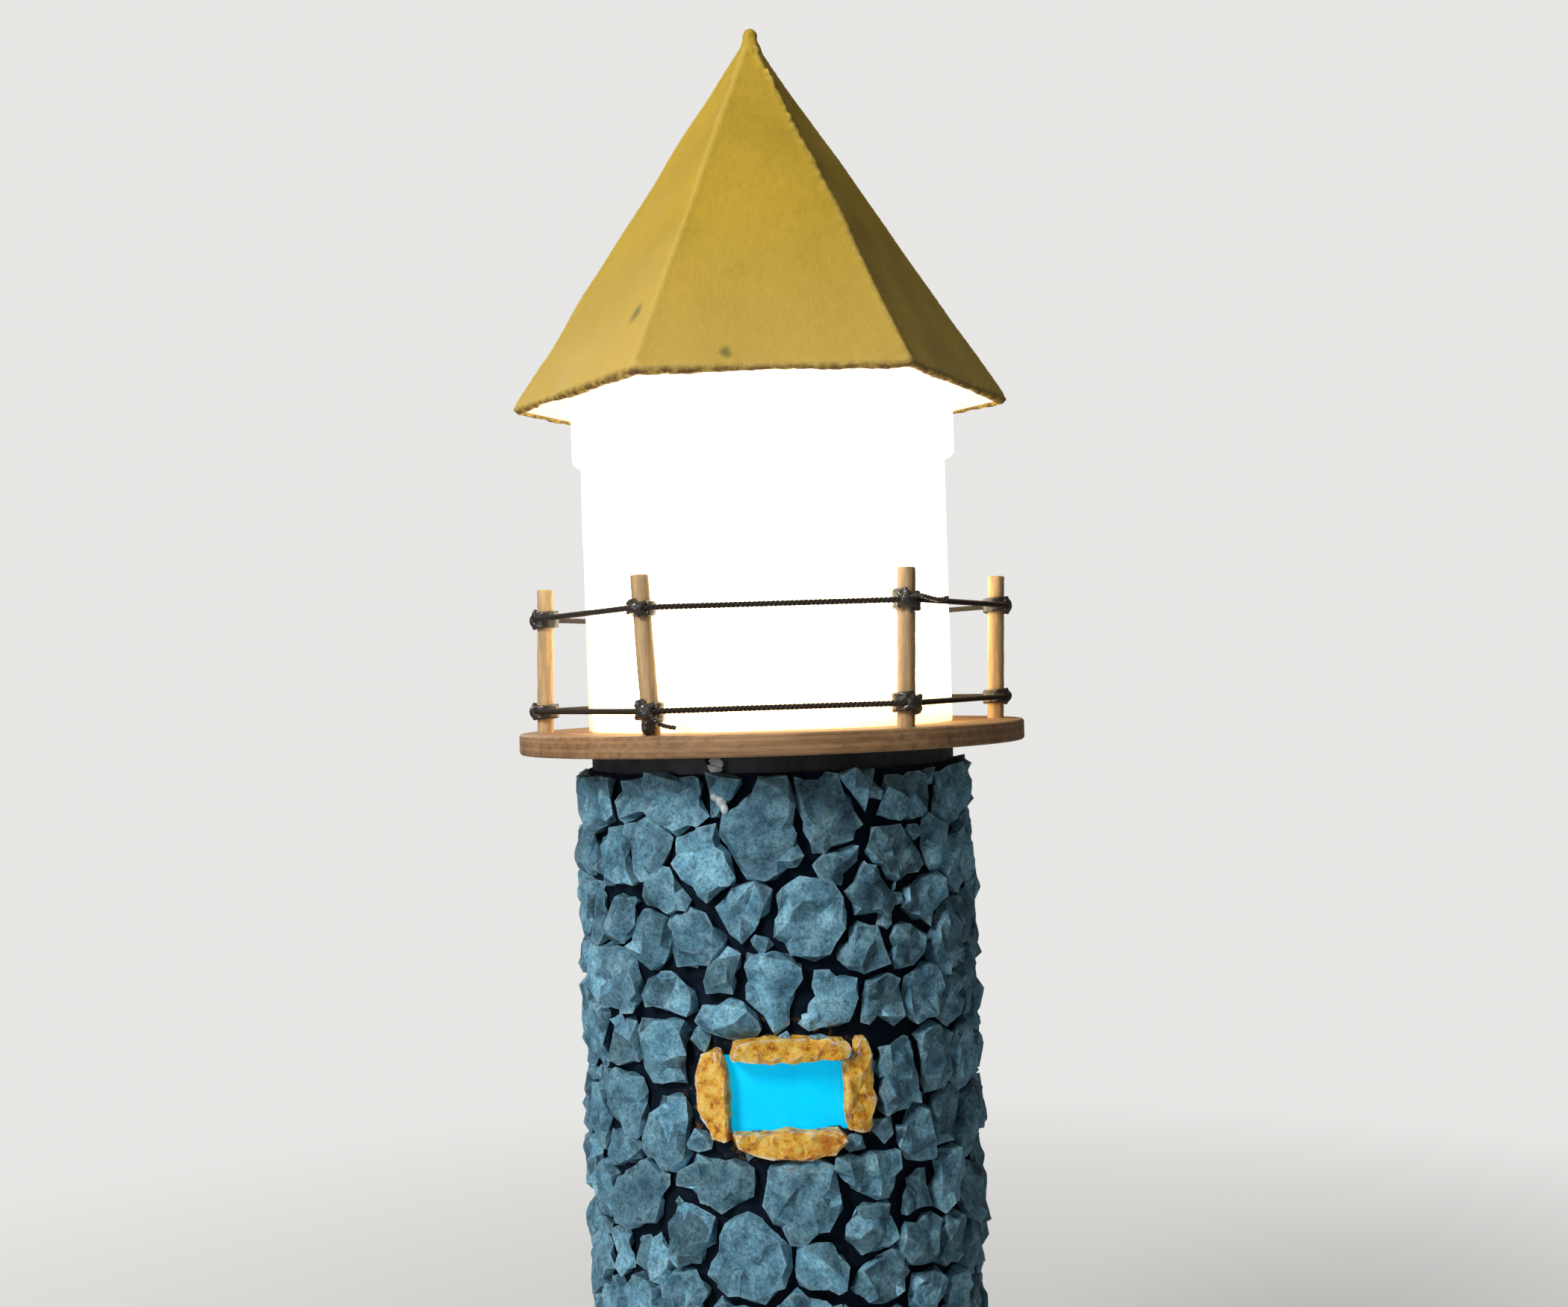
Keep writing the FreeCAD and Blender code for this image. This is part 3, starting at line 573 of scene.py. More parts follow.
# %% Gallery, boards and hidden rings
board_edge = 0.25 * MM
for name in ("gallery_disc", "base_board", "base_plug", "head_ring", "diffuser_seat"):
    board = copy_of(name, "wood_" + name)
    round_edges(board, board_edge)
    smooth(board, 40)
    slot = "ply" if name in ("gallery_disc", "base_board") else "ply_hidden"
    place(board, "root", slot, plywood, name)

# %% [markdown]
# ## Railing
# Each dowel is remeshed finely, so that its sawn ends soften and its sides waver a little. The
# two ends of its axis are read back from the frame, because the twine has to meet every post.

# %% Posts
post_axes = []
for number in range(1, 7):
    points = [v.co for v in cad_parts["rail_post_%d" % number].data.vertices]
    top = max(p.z for p in points)
    bottom = min(p.z for p in points)
    ends = [[p for p in points if abs(p.z - level) < 1 * MM] for level in (bottom, top)]
    post_axes.append([sum(end, Vector()) / len(end) for end in ends])
    post = copy_of("rail_post_%d" % number, "dowel_%d" % number)
    voxels(post, 0.4 * MM)
    push(post, clouds(6 * MM), 0.25 * MM)
    push(post, clouds(0.8 * MM, 1), 0.12 * MM)
    smooth(post, 50)
    place(post, "root", "dowel", dowel_wood, "rail_post_%d" % number)
post_radius = (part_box("rail_post_2")[1].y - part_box("rail_post_2")[0].y) / 2
print("post radius", round(post_radius, 5))

# %% [markdown]
# ## Twine
# The twine is a rope of three strands. A closed spline first gives the run round the outside of
# the posts. Each strand then follows that run as a helix, and the twist is rounded to whole turns
# so that the loop closes. The same fibre finish covers the knots, which are shiny with glue.

# %% Twine finishes
def twine_finish(name, rough, glue):
    finish = new_finish(name, rough, Coat_Weight=glue, Coat_Roughness=0.15)
    spot = where(finish)
    fibre = noise(finish, spot, 2600, 4, 0.7)
    body = ramp(finish, fibre, (0.35, (0.007, 0.005, 0.004)), (0.58, (0.032, 0.022, 0.016)),
                (0.75, (0.13, 0.095, 0.07)))
    return colour_with(finish, body, fibre, 0.2 * MM)


twine = twine_finish("twine", 0.8, 0.0)
glued = twine_finish("glued_twine", 0.4, 0.7)
print("finishes", twine.name, glued.name)


# %% Rail runs
def at_post(number, height):
    foot, top = post_axes[number]
    return foot + (top - foot) * ((gallery_top + height - foot.z) / (top.z - foot.z))


def route_of(controls, closed):
    """Points along a smooth spline, read back from a curve that has no thickness."""
    data = bpy.data.curves.new("route", "CURVE")
    data.dimensions = "3D"
    data.resolution_u = 40
    spline = data.splines.new("NURBS")
    spline.points.add(len(controls) - 1)
    for point, control in zip(spline.points, controls):
        point.co = (*control, 1)
    spline.order_u = 3
    spline.use_cyclic_u = closed
    spline.use_endpoint_u = not closed
    line = linked("route", data)
    bpy.context.view_layer.update()
    points = [v.co.copy() for v in bpy.data.meshes.new_from_object(line).vertices]
    bpy.data.objects.remove(line)
    return points


def even(points, step, closed):
    """The same line with its points spread evenly."""
    line = points + points[:1] if closed else points
    lengths = [(b - a).length for a, b in zip(line, line[1:])]
    count = round(sum(lengths) / step)
    spread, index, walked = [], 0, 0.0
    for number in range(count + (0 if closed else 1)):
        target = sum(lengths) * number / count
        while index < len(lengths) - 1 and walked + lengths[index] < target:
            walked += lengths[index]
            index += 1
        spread.append(line[index].lerp(line[index + 1], min(1, (target - walked) / lengths[index])))
    return spread, sum(lengths)


def tube(name, lines, radius, closed):
    """One mesh made of a round tube along each line."""
    data = bpy.data.curves.new(name, "CURVE")
    data.dimensions, data.bevel_depth, data.bevel_resolution = "3D", radius, 1
    data.use_fill_caps = not closed
    for line in lines:
        spline = data.splines.new("POLY")
        spline.points.add(len(line) - 1)
        for point, at in zip(spline.points, line):
            point.co = (*at, 1)
        spline.use_cyclic_u = closed
    only(linked(name, data))
    bpy.ops.object.convert(target="MESH")
    return bpy.context.object


def rope(name, controls, closed, thick=1.6 * MM, lay=3.8 * MM):
    step = 0.45 * MM
    points, length = even(route_of(controls, closed), step, closed)
    turns = round(length / lay)
    strands = []
    for strand in range(3):
        line = []
        for index, at in enumerate(points):
            after = points[(index + 1) % len(points)] if closed or index + 1 < len(points) else at
            before = points[index - 1] if closed or index else at
            along = (after - before).normalized()
            side = along.cross(Vector((0, 0, 1))).normalized()
            up = side.cross(along)
            angle = 2 * math.pi * (turns * index / len(points) + strand / 3)
            line.append(at + (side * math.cos(angle) + up * math.sin(angle)) * thick * 0.29)
        strands.append(line)
    return tube(name, strands, thick * 0.25, closed)


cord_level = {"upper": 34.5 * MM, "lower": 6.6 * MM}
for level, height in cord_level.items():
    controls = []
    for number in range(6):
        centre = at_post(number, height)
        outward = Vector((centre.x, centre.y, 0)).normalized()
        sideways = Vector((-outward.y, outward.x, 0))
        clear = post_radius + 1.1 * MM
        for way in (-5 * MM, -1.5 * MM, 1.5 * MM, 5 * MM):
            inward = 2.4 * MM if abs(way) > 4 * MM else 0
            controls.append(centre + outward * (clear - inward) + sideways * way)
    run = rope("twine_" + level, controls, True)
    smooth(run, 60)
    place(run, "root", "twine", twine, "rail_cord_" + level)

# %% [markdown]
# ## Knots
# One knot is modelled: four turns round the post, two strands that cross over the front, and a
# bead of glue. Remeshing melts them into one lump with the turns still showing. Twelve copies are
# turned to face outwards, stretched a little and joined for each level.

# %% Knots
def drop(at, size, segments=24, rings=16):
    """A ball stretched to a size, ready to be melted into others by a remesh."""
    bpy.ops.mesh.primitive_uv_sphere_add(segments=segments, ring_count=rings, radius=1,
                                         location=at, scale=size)
    return settle()


coil_radius, coil_height = 3.35 * MM, 4.6 * MM
cross_radius, cross_rise = 3.9 * MM, 1.9 * MM
coil_steps = 120
wound = 25.1
coil = []
for step in range(coil_steps + 1):
    angle = wound * step / coil_steps
    coil.append(spot_on_tower(angle, coil_radius, (step / coil_steps - 0.5) * coil_height))
crosses = [[spot_on_tower(angle, cross_radius, way * angle * cross_rise)
            for angle in [step / 15 - 0.8 for step in range(25)]] for way in (-1, 1)]
knot = tube("knot", [coil] + crosses, 0.75 * MM, False)
knot = joined([knot, drop((0, -3.8 * MM, 0), (2.4 * MM, 1.1 * MM, 1.9 * MM))], "knot")
voxels(knot, 0.32 * MM)
push(knot, clouds(1.6 * MM), 0.5 * MM)

draw = random.Random(3)
for level, height in cord_level.items():
    made = []
    for number in range(6):
        at = at_post(number, height)
        copy = linked("knot", knot.data.copy())
        face = Matrix.Rotation(math.atan2(at.x, -at.y) + draw.uniform(-0.5, 0.5), 4, "Z")
        tall = draw.uniform(0.85, 1.2)
        copy.data.transform(Matrix.Translation(at) @ face @ Matrix.Diagonal((1, 1, tall, 1)))
        made.append(copy)
    knots = joined(made, "twine_knots_" + level)
    smooth(knots, 60)
    place(knots, "root", "twine", glued, "rail_knots_" + level)
bpy.data.objects.remove(knot)

# %% [markdown]
# Two knots have loose ends: the upper one at the front right, and the lower one at the front left,
# where glue has also run down the post to the gallery.

# %% Loose ends and a run of glue
right_path = ((0.5, -4.2, 0.6), (3, -5.4, 1.2), (6, -4.6, 0.2), (9, -4, -0.6), (11, -3.2, 0.2))
left_path = ((0, -4.2, -0.5), (1.5, -5.2, -2.5), (4, -4.4, -4.2), (7, -3.8, -4.6))
for name, post, level, path in (("loose_end_right", 3, "upper", right_path),
                                ("loose_end_left", 2, "lower", left_path)):
    knot_at = at_post(post, cord_level[level])
    tail = rope(name, [knot_at + Vector(point) * MM for point in path], False, 1.3 * MM, 3 * MM)
    smooth(tail, 60)
    place(tail, "root", "twine", glued)

run = drop(knot_at + Vector((-0.3, -2.2, -3.4)) * MM, (2.2 * MM, 1.9 * MM, 3.1 * MM))
run.name = "glue_run"
voxels(run, 0.3 * MM)
push(run, clouds(2 * MM), 1.1 * MM)
smooth(run, 60)
place(run, "root", "twine", glued)

# %% [markdown]
# ## Roof
# Six boards meet at the hips, and filler and paint run over every joint, so no seam shows. The
# copies are joined with a thin rod along each hip, and one remesh melts them into a single painted
# skin. Large noise waves it as thin board is, and weights roughen the eave and the front right hip.
# The paint is yellow ochre with faint brush streaks, paler towards the eave, with a painted highlight
# along the hips, a few dark stains and a bare brown lower edge.

# %% Roof paint
def stain_at(finish, at, size):
    """A mask for one stain with a wobbly edge; its place and its size are in millimetres."""
    spot = node(finish, "TexCoord").outputs["Object"]
    wobble = node(finish, "TexNoise", {"Vector": spot, "Scale": 500}).outputs["Color"]
    moved = node(finish, "VectorMath", {0: wobble, 1: (0.002, 0.002, 0.002)}, operation="MULTIPLY")
    here = node(finish, "VectorMath", {0: spot, 1: moved.outputs[0]}, operation="ADD")
    away = node(finish, "VectorMath", {0: here.outputs[0], 1: Vector(at) * MM + Vector((1, 1, 1)) * MM},
                operation="SUBTRACT")
    shaped = node(finish, "VectorMath", {0: away.outputs[0], 1: tuple(1 / (s * MM) for s in size)},
                  operation="MULTIPLY")
    far = node(finish, "VectorMath", {0: shaped.outputs[0]}, operation="LENGTH").outputs["Value"]
    return ramp(finish, far, (0.3, 0.8), (1.0, 0.0))


roof_stains = (((-33.5, -49.1, 454.5), (3.0, 3.6, 4.6)), ((-33.6, -50.5, 461), (1.8, 2.4, 2.2)),
               ((-8.8, -63.5, 440), (2.4, 3.4, 2.6)), ((24, -55, 449), (1.0, 1.0, 1.0)),
               ((-52, -20, 447), (1.4, 1.4, 1.0)))


def roof_finish(name, ridge):
    """Roof paint, with a painted highlight along its ridges, as strong as the share that ridge gives."""
    finish = new_finish(name, 0.62, Specular_IOR_Level=0.3)
    spot = where(finish)
    broad = noise(finish, spot, 22, 3)
    body = ramp(finish, broad, (0.34, (0.53, 0.35, 0.032)), (0.52, (0.60, 0.405, 0.038)),
                (0.68, (0.64, 0.42, 0.042)))
    streak = noise(finish, where(finish, (1, 1, 0.16)), 420, 5, 0.7)
    body = blend(finish, 0.35, body, ramp(finish, streak, (0.36, 0.84), (0.62, 1.08)), "MULTIPLY")
    grain = noise(finish, spot, 1300, 3, 0.7)
    body = blend(finish, 0.35, body, ramp(finish, grain, (0.35, 0.82), (0.62, 1.1)), "MULTIPLY")
    # Painted highlight: the ridges that Pointiness finds are lightened.
    rim = ramp(finish, surface(finish, "Pointiness"), (0.505, 0.0), (0.53, ridge))
    body = blend(finish, rim, body, (0.72, 0.53, 0.13))
    height = upward(finish, spot)
    # The paint turns paler towards the eave.
    paler_to_eave = node(finish, "MapRange", {"Value": height, "From Min": eave + 50 * MM, "From Max": eave,
                                      "To Max": 0.4})
    body = blend(finish, paler_to_eave.outputs[0], body, (0.74, 0.53, 0.16))
    low = node(finish, "MapRange", {"Value": height, "From Min": eave + 1.6 * MM,
                                    "From Max": eave - 0.6 * MM})
    chipped = ramp(finish, noise(finish, spot, 420, 5, 0.7), (0.40, 0.25), (0.55, 1.0))
    bare = sums(finish, "MULTIPLY", low.outputs[0], chipped)
    body = blend(finish, bare, body, (0.17, 0.085, 0.028))
    for at, size in roof_stains:
        body = blend(finish, stain_at(finish, at, size), body, (0.17, 0.17, 0.05))
    return colour_with(finish, body, sums(finish, "ADD", grain, streak), 0.14 * MM,
                       ramp(finish, streak, (0.3, 0.55), (0.7, 0.72)))


roof_paint = roof_finish("roof_paint", 0.5)
tip_paint = roof_finish("tip_paint", 0.05)
print("finish", roof_paint.name)


# %% Roof boards
def weigh(piece, name, weight_of):
    group = piece.vertex_groups.new(name=name)
    for vertex in piece.data.vertices:
        weight = weight_of(vertex.co)
        if weight > 0.01:
            group.add([vertex.index], min(1, weight), "REPLACE")


def board_points(number):
    return [v.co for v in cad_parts["roof_panel_%d" % number].data.vertices]


def board_corner(number):
    """The outer eave corner where a board meets the one before it."""
    before = board_points((number - 2) % 6 + 1)
    low = [p for p in board_points(number) if abs(p.z - eave) < 0.1 * MM]
    shared = [p for p in low if min((p - other).length for other in before) < 0.1 * MM]
    return max(shared, key=lambda p: p.length).copy()


tip_at = Vector((0, 0, apex))
ragged_corner = board_corner(2)
hip_rod = 1.25 * MM
parts = [copy_of("roof_panel_%d" % number, "board") for number in range(1, 7)]
for number in range(1, 7):
    corner = board_corner(number)
    along = tip_at - corner
    middle = corner.lerp(tip_at, 0.5) + Vector((-corner.x, -corner.y, 0)).normalized() * 1.3 * MM
    bpy.ops.mesh.primitive_cylinder_add(vertices=16, radius=hip_rod, depth=along.length - 4 * MM,
                                        location=middle, rotation=along.to_track_quat("Z", "Y").to_euler())
    parts.append(settle())
roof = joined(parts, "painted_roof")
voxels(roof, 1.0 * MM)
modify(roof, "SMOOTH", factor=0.5, iterations=3)
push(roof, clouds(30 * MM, 1), 1.6 * MM)
rough_edge = 4 * MM
weigh(roof, "eave", lambda at: 1 - (at.z - eave) / rough_edge)
push(roof, clouds(2.4 * MM, 2, 1.5), 0.5 * MM, "eave")
push(roof, clouds(11 * MM), 0.8 * MM, "eave", "Z")

ragged_line = (tip_at - ragged_corner).normalized()
ragged_reach = 2.6 * MM


def raggedness(at):
    """Strong beside the front right hip, most of all near its top."""
    off = (at - ragged_corner) - ragged_line * (at - ragged_corner).dot(ragged_line)
    rise = (at.z - eave) / (apex - eave)
    return (1 - off.length / ragged_reach) * (0.12 + rise ** 2) * 1.3


weigh(roof, "ragged", raggedness)
push(roof, clouds(2.2 * MM, 1, 1.5), 1.5 * MM, "ragged")
smooth(roof, 60)
place(roof, "roof", "roof_paint", roof_paint, *["roof_panel_%d" % number for number in range(1, 7)])

# %% [markdown]
# Under the boards lies a flat hexagon painted white. The lantern lights it from right beside it,
# so its finish glows a little as well. The tip is a ball of filler that was pressed on to a cone
# and smoothed by hand.

# %% Underside and tip
under_paint = new_finish("under_paint", 0.6, Emission_Strength=0.75)
under_spot = where(under_paint)
under_body = ramp(under_paint, noise(under_paint, under_spot, 160, 5), (0.35, (0.80, 0.75, 0.64)),
                  (0.65, (0.88, 0.84, 0.75)))
glow_with(under_paint, under_body)
colour_with(under_paint, under_body, noise(under_paint, under_spot, 900, 3), 0.1 * MM)
under = copy_of("roof_frame", "white_underside")
round_edges(under, board_edge)
smooth(under, 40)
place(under, "roof", "ply_hidden", under_paint, "roof_frame")

ball = drop(tip_at - Vector((0, 0, 1.2 * MM)), (2.3 * MM, 2.3 * MM, 2.45 * MM), 32, 20)
bpy.ops.mesh.primitive_cone_add(vertices=24, radius1=4.6 * MM, radius2=2.1 * MM, depth=7 * MM,
                                location=tip_at - Vector((0, 0, 5.2 * MM)))
tip = joined([ball, settle()], "roof_tip_blob")
voxels(tip, 0.35 * MM)
modify(tip, "SMOOTH", factor=0.6, iterations=6)
push(tip, clouds(2.5 * MM), 0.5 * MM)
smooth(tip, 60)
place(tip, "roof", "roof_tip_paint", tip_paint, "roof_tip")

# %% [markdown]
# ## Lantern
# The diffuser is milky plastic lit from within. Its finish glows by itself, warm at the foot where
# the light grazes the wood and almost white above. Its cut top edge, and the collar under the roof,
# glow less.

# %% Lantern finishes and shells
warm_height = 14 * MM


def glowing_finish(name, strength, foot, above, rim=1.0):
    finish = new_finish(name, 0.4, Emission_Strength=strength)
    spot = where(finish)
    rise = node(finish, "MapRange", {"Value": upward(finish, spot), "From Min": gallery_top,
                                     "From Max": gallery_top + warm_height})
    cloud = noise(finish, spot, 60, 3)
    warm = ramp(finish, rise.outputs[0], (0.0, foot), (1.0, above))
    warm = blend(finish, 0.25, warm, ramp(finish, cloud, (0.35, 0.85), (0.65, 1.0)), "MULTIPLY")
    facing = upward(finish, surface(finish, "Normal"))
    warm = blend(finish, 1.0, warm, ramp(finish, facing, (0.4, 1.0), (0.9, rim)), "MULTIPLY")
    glow_with(finish, warm)
    body = ramp(finish, cloud, (0.3, (0.80, 0.78, 0.72)), (0.7, (0.86, 0.84, 0.79)))
    return colour_with(finish, body, noise(finish, spot, 240, 2), 0.05 * MM)


diffuser_glow = glowing_finish("diffuser", 3.4, (1.0, 0.58, 0.18), (1.0, 0.84, 0.55), rim=0.2)
collar_glow = glowing_finish("collar", 1.7, (1.0, 0.88, 0.64), (1.0, 0.88, 0.64))
for name, body, slot, finish in (("lantern_diffuser", "root", "lantern_plastic", diffuser_glow),
                                 ("roof_collar", "roof", "collar_plastic", collar_glow)):
    shell = copy_of(name, "glowing_" + name)
    round_edges(shell, 0.4 * MM, 3)
    smooth(shell, 40)
    place(shell, body, slot, finish, name)

# %% Seam of the diffuser
# The sheet's two ends meet in one upright seam, on the left as the photograph is seen.
seam_turn, seam_width = -80, 16
seam_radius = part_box("lantern_diffuser")[1].x + 0.05 * MM
seam_low, seam_high = gallery_top + 0.3 * MM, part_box("roof_collar")[0].z - 0.3 * MM
bpy.ops.mesh.primitive_grid_add(x_subdivisions=16, y_subdivisions=60, size=1)
seam = bpy.context.object
seam.name = "diffuser_seam"
for vertex in seam.data.vertices:
    turn = math.radians(seam_turn + seam_width * vertex.co.x)
    vertex.co = spot_on_tower(turn, seam_radius, seam_low + (seam_high - seam_low) * (vertex.co.y + 0.5))
modify(seam, "SOLIDIFY", thickness=0.5 * MM, offset=-1 if seam.data.polygons[0].normal.x > 0 else 1)
push(seam, clouds(14 * MM), 0.25 * MM)
smooth(seam, 40)
seam_glow = glowing_finish("seam", 0.75, (1.0, 0.6, 0.25), (1.0, 0.86, 0.62))
place(seam, "root", "lantern_plastic", seam_glow)

# %% [markdown]
# ## Pipe and small hardware
# The tower's pipe shows only as a dusty dark collar below the gallery. Moulded plastic, zinc,
# brass and ceramic share one network that varies tone and roughness over the surface.

# %% Hardware finishes
def moulded(name, dark, pale, rough, metal=0.0, scale=300, depth=0.06):
    finish = new_finish(name, rough, Metallic=metal)
    spot = where(finish)
    broad = noise(finish, spot, scale, 5, 0.65)
    body = ramp(finish, broad, (0.35, dark), (0.65, pale))
    return colour_with(finish, body, noise(finish, spot, 2200, 3, 0.6), depth * MM,
                       ramp(finish, noise(finish, spot, 150, 4), (0.35, rough - 0.1), (0.65, rough + 0.12)))


pipe_dark = moulded("pipe", (0.012, 0.015, 0.02), (0.045, 0.05, 0.06), 0.55)
zinc = moulded("zinc", (0.15, 0.15, 0.15), (0.36, 0.35, 0.33), 0.48, 1.0)
nickel = moulded("nickel", (0.55, 0.53, 0.48), (0.70, 0.68, 0.63), 0.28, 1.0)
brass = moulded("brass", (0.52, 0.36, 0.13), (0.72, 0.54, 0.24), 0.3, 1.0)
black_nylon = moulded("black_nylon", (0.010, 0.010, 0.011), (0.028, 0.028, 0.03), 0.5)
rubber = moulded("rubber", (0.012, 0.012, 0.012), (0.03, 0.03, 0.03), 0.75)
cream = moulded("holder_plastic", (0.66, 0.63, 0.55), (0.76, 0.73, 0.66), 0.4)
ceramic = moulded("ceramic", (0.72, 0.70, 0.66), (0.82, 0.80, 0.77), 0.3)
white_plastic = moulded("lamp_plastic", (0.74, 0.74, 0.73), (0.84, 0.84, 0.83), 0.35)
sheath = moulded("cable_sheath", (0.60, 0.59, 0.56), (0.70, 0.69, 0.66), 0.5)
clear_block = moulded("terminal_plastic", (0.60, 0.60, 0.57), (0.72, 0.72, 0.70), 0.4)
bulb_glow = glowing_finish("bulb_glass", 2.6, (1.0, 0.88, 0.66), (1.0, 0.88, 0.66))

# %% Dress the small parts
hardware = (
    ("tower_pipe", "pipe_plastic", pipe_dark),
    ("base_screws foot_screws collar_screws gallery_screws terminal_screws", "steel_screw", zinc),
    ("lampholder_shell", "holder_plastic", cream),
    ("lampholder_core", "holder_ceramic", ceramic),
    ("lampholder_thread lampholder_contact", "brass_part", brass),
    ("lamp_nipple nipple_nuts", "plated_steel", nickel),
    ("terminal_block", "terminal_plastic", clear_block),
    ("gland_body gland_locknut gland_nut", "gland_plastic", black_nylon),
    ("gland_seal gland_insert", "seal_rubber", rubber),
    ("bulb_globe", "bulb_glass", bulb_glow),
    ("bulb_neck", "bulb_plastic", white_plastic),
    ("bulb_contact", "brass_part", brass))
edged = ("lampholder_shell", "terminal_block", "gland_body", "gland_nut", "gland_locknut")
for names, slot, finish in hardware:
    for name in names.split():
        part = copy_of(name, "part_" + name)
        if name in edged:
            round_edges(part, 0.3 * MM, sharp=0.6)
        smooth(part, 35)
        place(part, "bulb" if name.startswith("bulb") else "root", slot, finish, name)

# %% [markdown]
# The lamp's cap has a rolled thread. A profile with the thread's waves is spun round the axis, so
# the waves are rings, which nobody can tell from a helix at this size.

# %% Bulb cap
cap_low, cap_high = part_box("bulb_cap")
thread_depth, wave_points, thread_points = 0.55 * MM, 12, 54
thread_length = cap_high.z - cap_low.z - 6 * MM
thread = [(cap_high.x - thread_depth * (1 - math.cos(2 * math.pi * i / wave_points)),
           cap_high.z - 2 * MM - thread_length * i / thread_points) for i in range(thread_points + 1)]
cap_profile = [(0.0, cap_high.z), (cap_high.x, cap_high.z)] + thread
cap_profile += [(cap_high.x - 4 * MM, cap_low.z), (0.0, cap_low.z)]
cap = spun("lamp_cap", cap_profile, 64)
smooth(cap, 50)
place(cap, "bulb", "bulb_cap_metal", nickel, "bulb_cap")

# %% [markdown]
# ## Inner flex
# One free cord runs inside the tower, from the terminal block up to the lampholder. The frame's
# cable is straight runs and arcs. The same points, in millimetres, now steer a smooth spline.

# %% Flex
block_front, block_mid, nipple_end = 20.0, 33.0, 346.0
flex_radius = 3.0
rises = [(2.0, 0.0), (-13.6, 9.0), (-22.6, 24.6), (-22.6, 44.0), (-18.0, 74.0), (-10.0, 118.0),
         (-4.0, 168.0), (-1.0, 220.0), (0.0, 268.0)]
flex_points = [(0, block_front, block_mid)] + [(0, y, block_mid + up) for y, up in rises]
flex_points.append((0, 0, nipple_end))
flex_data = bpy.data.curves.new("flex", "CURVE")
flex_data.dimensions, flex_data.bevel_depth, flex_data.bevel_resolution = "3D", flex_radius * MM, 4
flex_data.use_fill_caps = True
spline = flex_data.splines.new("NURBS")
spline.points.add(len(flex_points) - 1)
for point, at in zip(spline.points, flex_points):
    point.co = (*(Vector(at) * MM), 1)
spline.order_u = 3
spline.use_endpoint_u = True
flex = linked("inner_flex_cord", flex_data)
flex.data.materials.append(sheath)
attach(flex, "root")
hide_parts("inner_flex")
print("flex steered by", len(flex_points), "points")

# %% [markdown]
# ## Glue spot
# Clear glue has run down over a chip just below the bare collar, and dried. Three overlapping
# drops of falling size are melted into one bead.

# %% Glue spot
glue = moulded("dried_glue", (0.42, 0.50, 0.56), (0.74, 0.79, 0.82), 0.15)
glue_radius, glue_top = pipe_radius + 4.7 * MM, 321.4
drops = []
for turn, down, size in ((-0.262, 0.0, 1.7), (-0.238, 2.1, 1.5), (-0.222, 4.4, 1.1)):
    at = spot_on_tower(turn, glue_radius, (glue_top - down) * MM)
    drops.append(drop(at, (size * MM, 1.0 * MM, 1.3 * size * MM)))
bead = joined(drops, "glue_bead")
voxels(bead, 0.25 * MM)
push(bead, clouds(1.4 * MM), 0.7 * MM)
smooth(bead, 60)
place(bead, "root", "mortar", glue)

# %% [markdown]
# ## Camera, light and floor
# The camera stands where the photograph was taken: level with the gallery, half a metre away, and
# tilted sideways by two degrees. A large soft lamp on the left lights the front and left faces of
# the roof, and leaves the right one in shade. A weaker one fills the front, one lights the back for
# the other views, and a weak sky fills the shadows.

# %% Camera
camera = linked("camera", bpy.data.cameras.new("camera"))
bpy.context.scene.camera = camera
camera.data.lens = 38.81
camera.data.shift_y = 0.03
camera_pitch, camera_roll, camera_yaw = -0.0138, 0.0322, -0.0019
camera.location = (3.2 * MM, -517.7 * MM, gallery_top + 14.6 * MM)
camera.rotation_euler = (math.pi / 2 + camera_pitch, camera_roll, camera_yaw)
camera.data.clip_start = 0.01
print("camera", tuple(round(c, 4) for c in camera.location))


# %% Lamps
def soft_lamp(name, place_at, aim_at, size, watts, colour):
    data = bpy.data.lights.new(name, "AREA")
    data.shape, data.size, data.energy, data.color = "DISK", size, watts, colour
    lamp = linked(name, data)
    lamp.location = place_at
    lamp.rotation_euler = (Vector(aim_at) - Vector(place_at)).to_track_quat("-Z", "Y").to_euler()


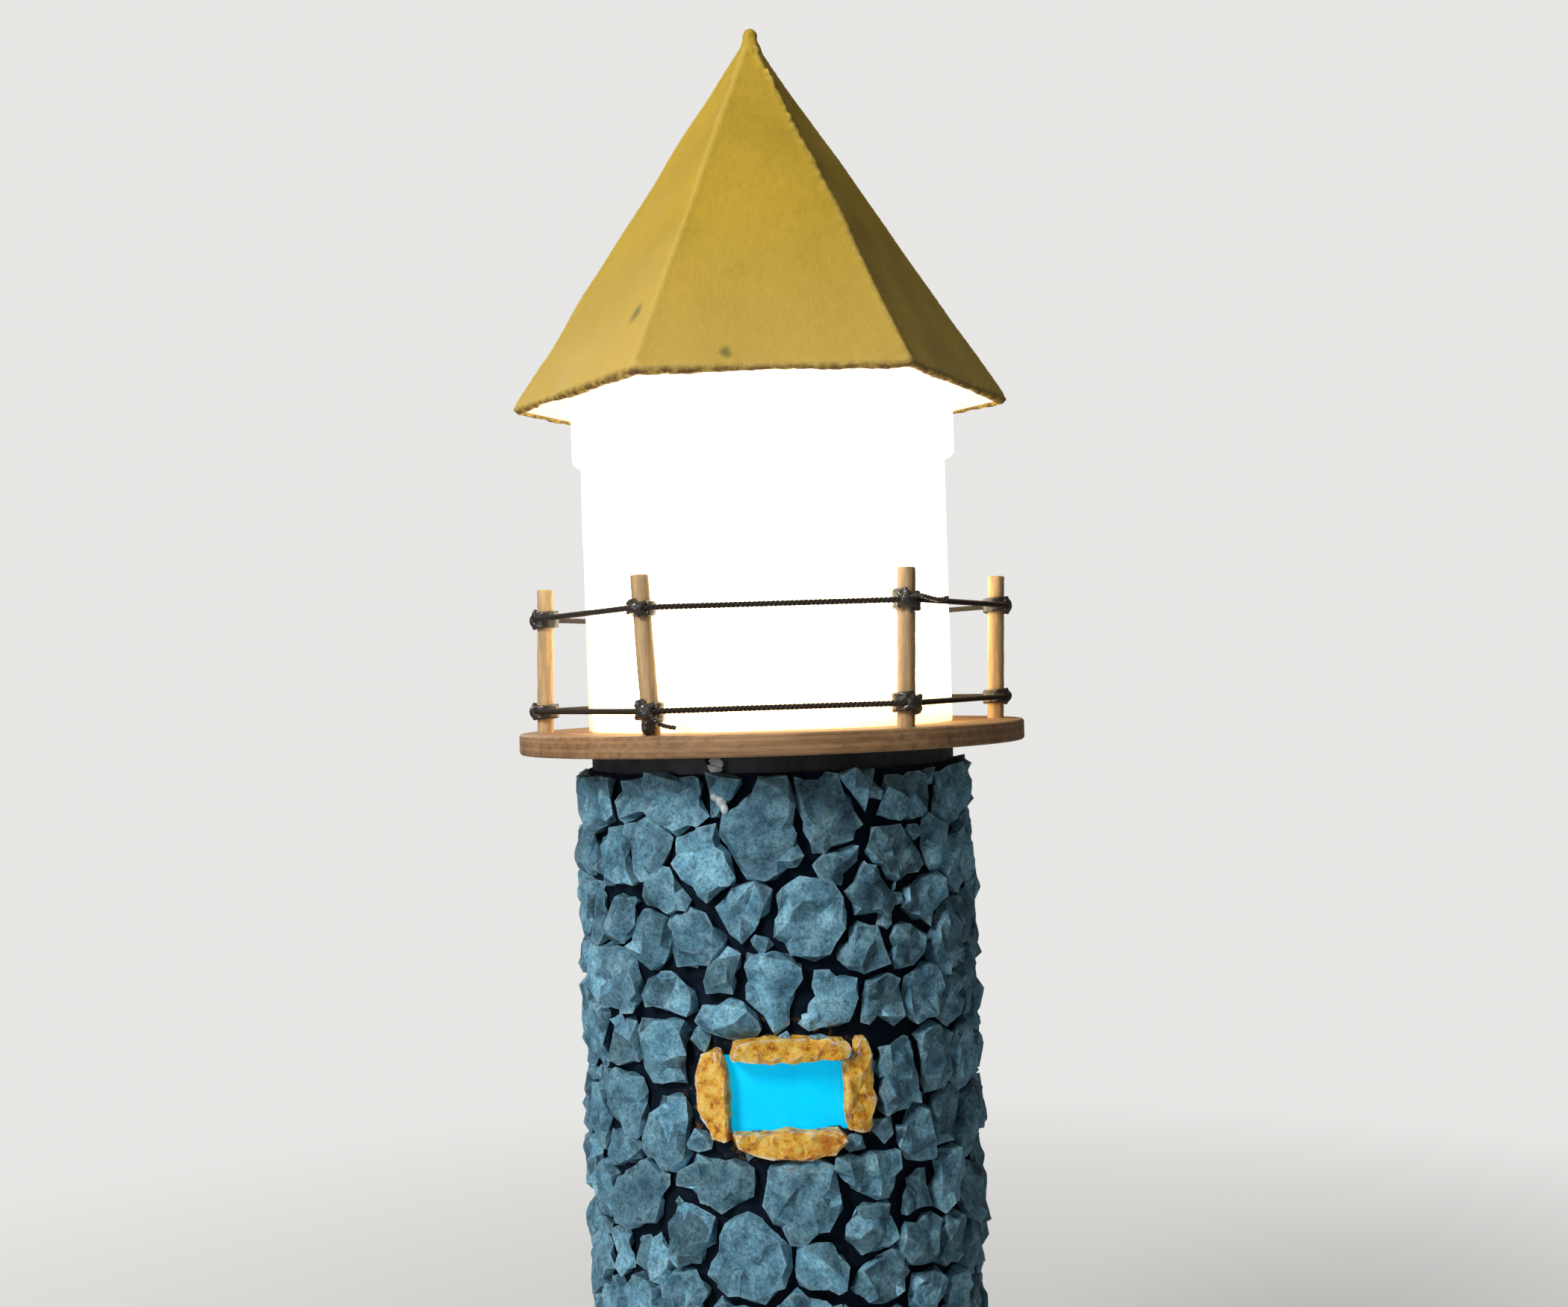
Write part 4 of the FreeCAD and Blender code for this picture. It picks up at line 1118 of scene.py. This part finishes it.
tower_middle = (0, 0, 0.33)
soft_lamp("key", (-0.84, -1.04, 1.25), tower_middle, 0.45, 19.5, (1.0, 0.97, 0.93))
soft_lamp("front", (-1.1, -1.2, 0.35), tower_middle, 0.7, 4, (0.92, 0.96, 1.0))
soft_lamp("back", (-0.7, 1.4, 0.9), tower_middle, 0.8, 6.5, (1.0, 0.98, 0.95))
print("three soft lamps")

# %% [markdown]
# The sky is weak as a light and plain pale as a background: Is Camera Ray tells the two apart. The
# floor does the same where it fades into the sky, so no edge shows.

# %% Sky and floor
sky_light = 0.14
backdrop = (0.80, 0.795, 0.78)
world = bpy.data.worlds.new("sky")
bpy.context.scene.world = world
world.use_nodes = True
sky = world.node_tree.nodes["Background"]
sky.inputs["Color"].default_value = (*backdrop, 1)
seen = world.node_tree.nodes.new("ShaderNodeLightPath").outputs["Is Camera Ray"]
level = world.node_tree.nodes.new("ShaderNodeMath")
level.operation = "MULTIPLY_ADD"
level.inputs[1].default_value = 1 - sky_light
level.inputs[2].default_value = sky_light
world.node_tree.links.new(seen, level.inputs[0])
world.node_tree.links.new(level.outputs[0], sky.inputs["Strength"])

bpy.ops.mesh.primitive_circle_add(vertices=96, radius=6, fill_type="NGON", location=(0, 0, -0.5 * MM))
floor = settle()
floor.name = "studio_floor"
floor_finish = new_finish("floor", 0.8, Base_Color=(0.86, 0.855, 0.84, 1))
floor_tree = floor_finish.node_tree
floor_far = node(floor_finish, "VectorMath", {0: where(floor_finish)}, operation="LENGTH")
floor_fade = ramp(floor_finish, floor_far.outputs["Value"], (0.12, 0.0), (0.9, 1.0))
floor_seen = node(floor_finish, "LightPath").outputs["Is Camera Ray"]
floor_level = node(floor_finish, "Math", {0: floor_seen, 1: 1 - sky_light, 2: sky_light},
                   operation="MULTIPLY_ADD")
far_glow = node(floor_finish, "Emission", {"Color": (*backdrop, 1), "Strength": floor_level.outputs[0]})
floor_near = floor_tree.nodes["Principled BSDF"]
floor_mix = node(floor_finish, "MixShader", {0: floor_fade, 1: floor_near.outputs[0], 2: far_glow.outputs[0]})
floor_tree.links.new(floor_mix.outputs[0], floor_tree.nodes["Material Output"].inputs[0])
floor.data.materials.append(floor_finish)

bpy.context.scene.view_settings.view_transform = "Standard"
print("floor and sky, view", bpy.context.scene.view_settings.view_transform)
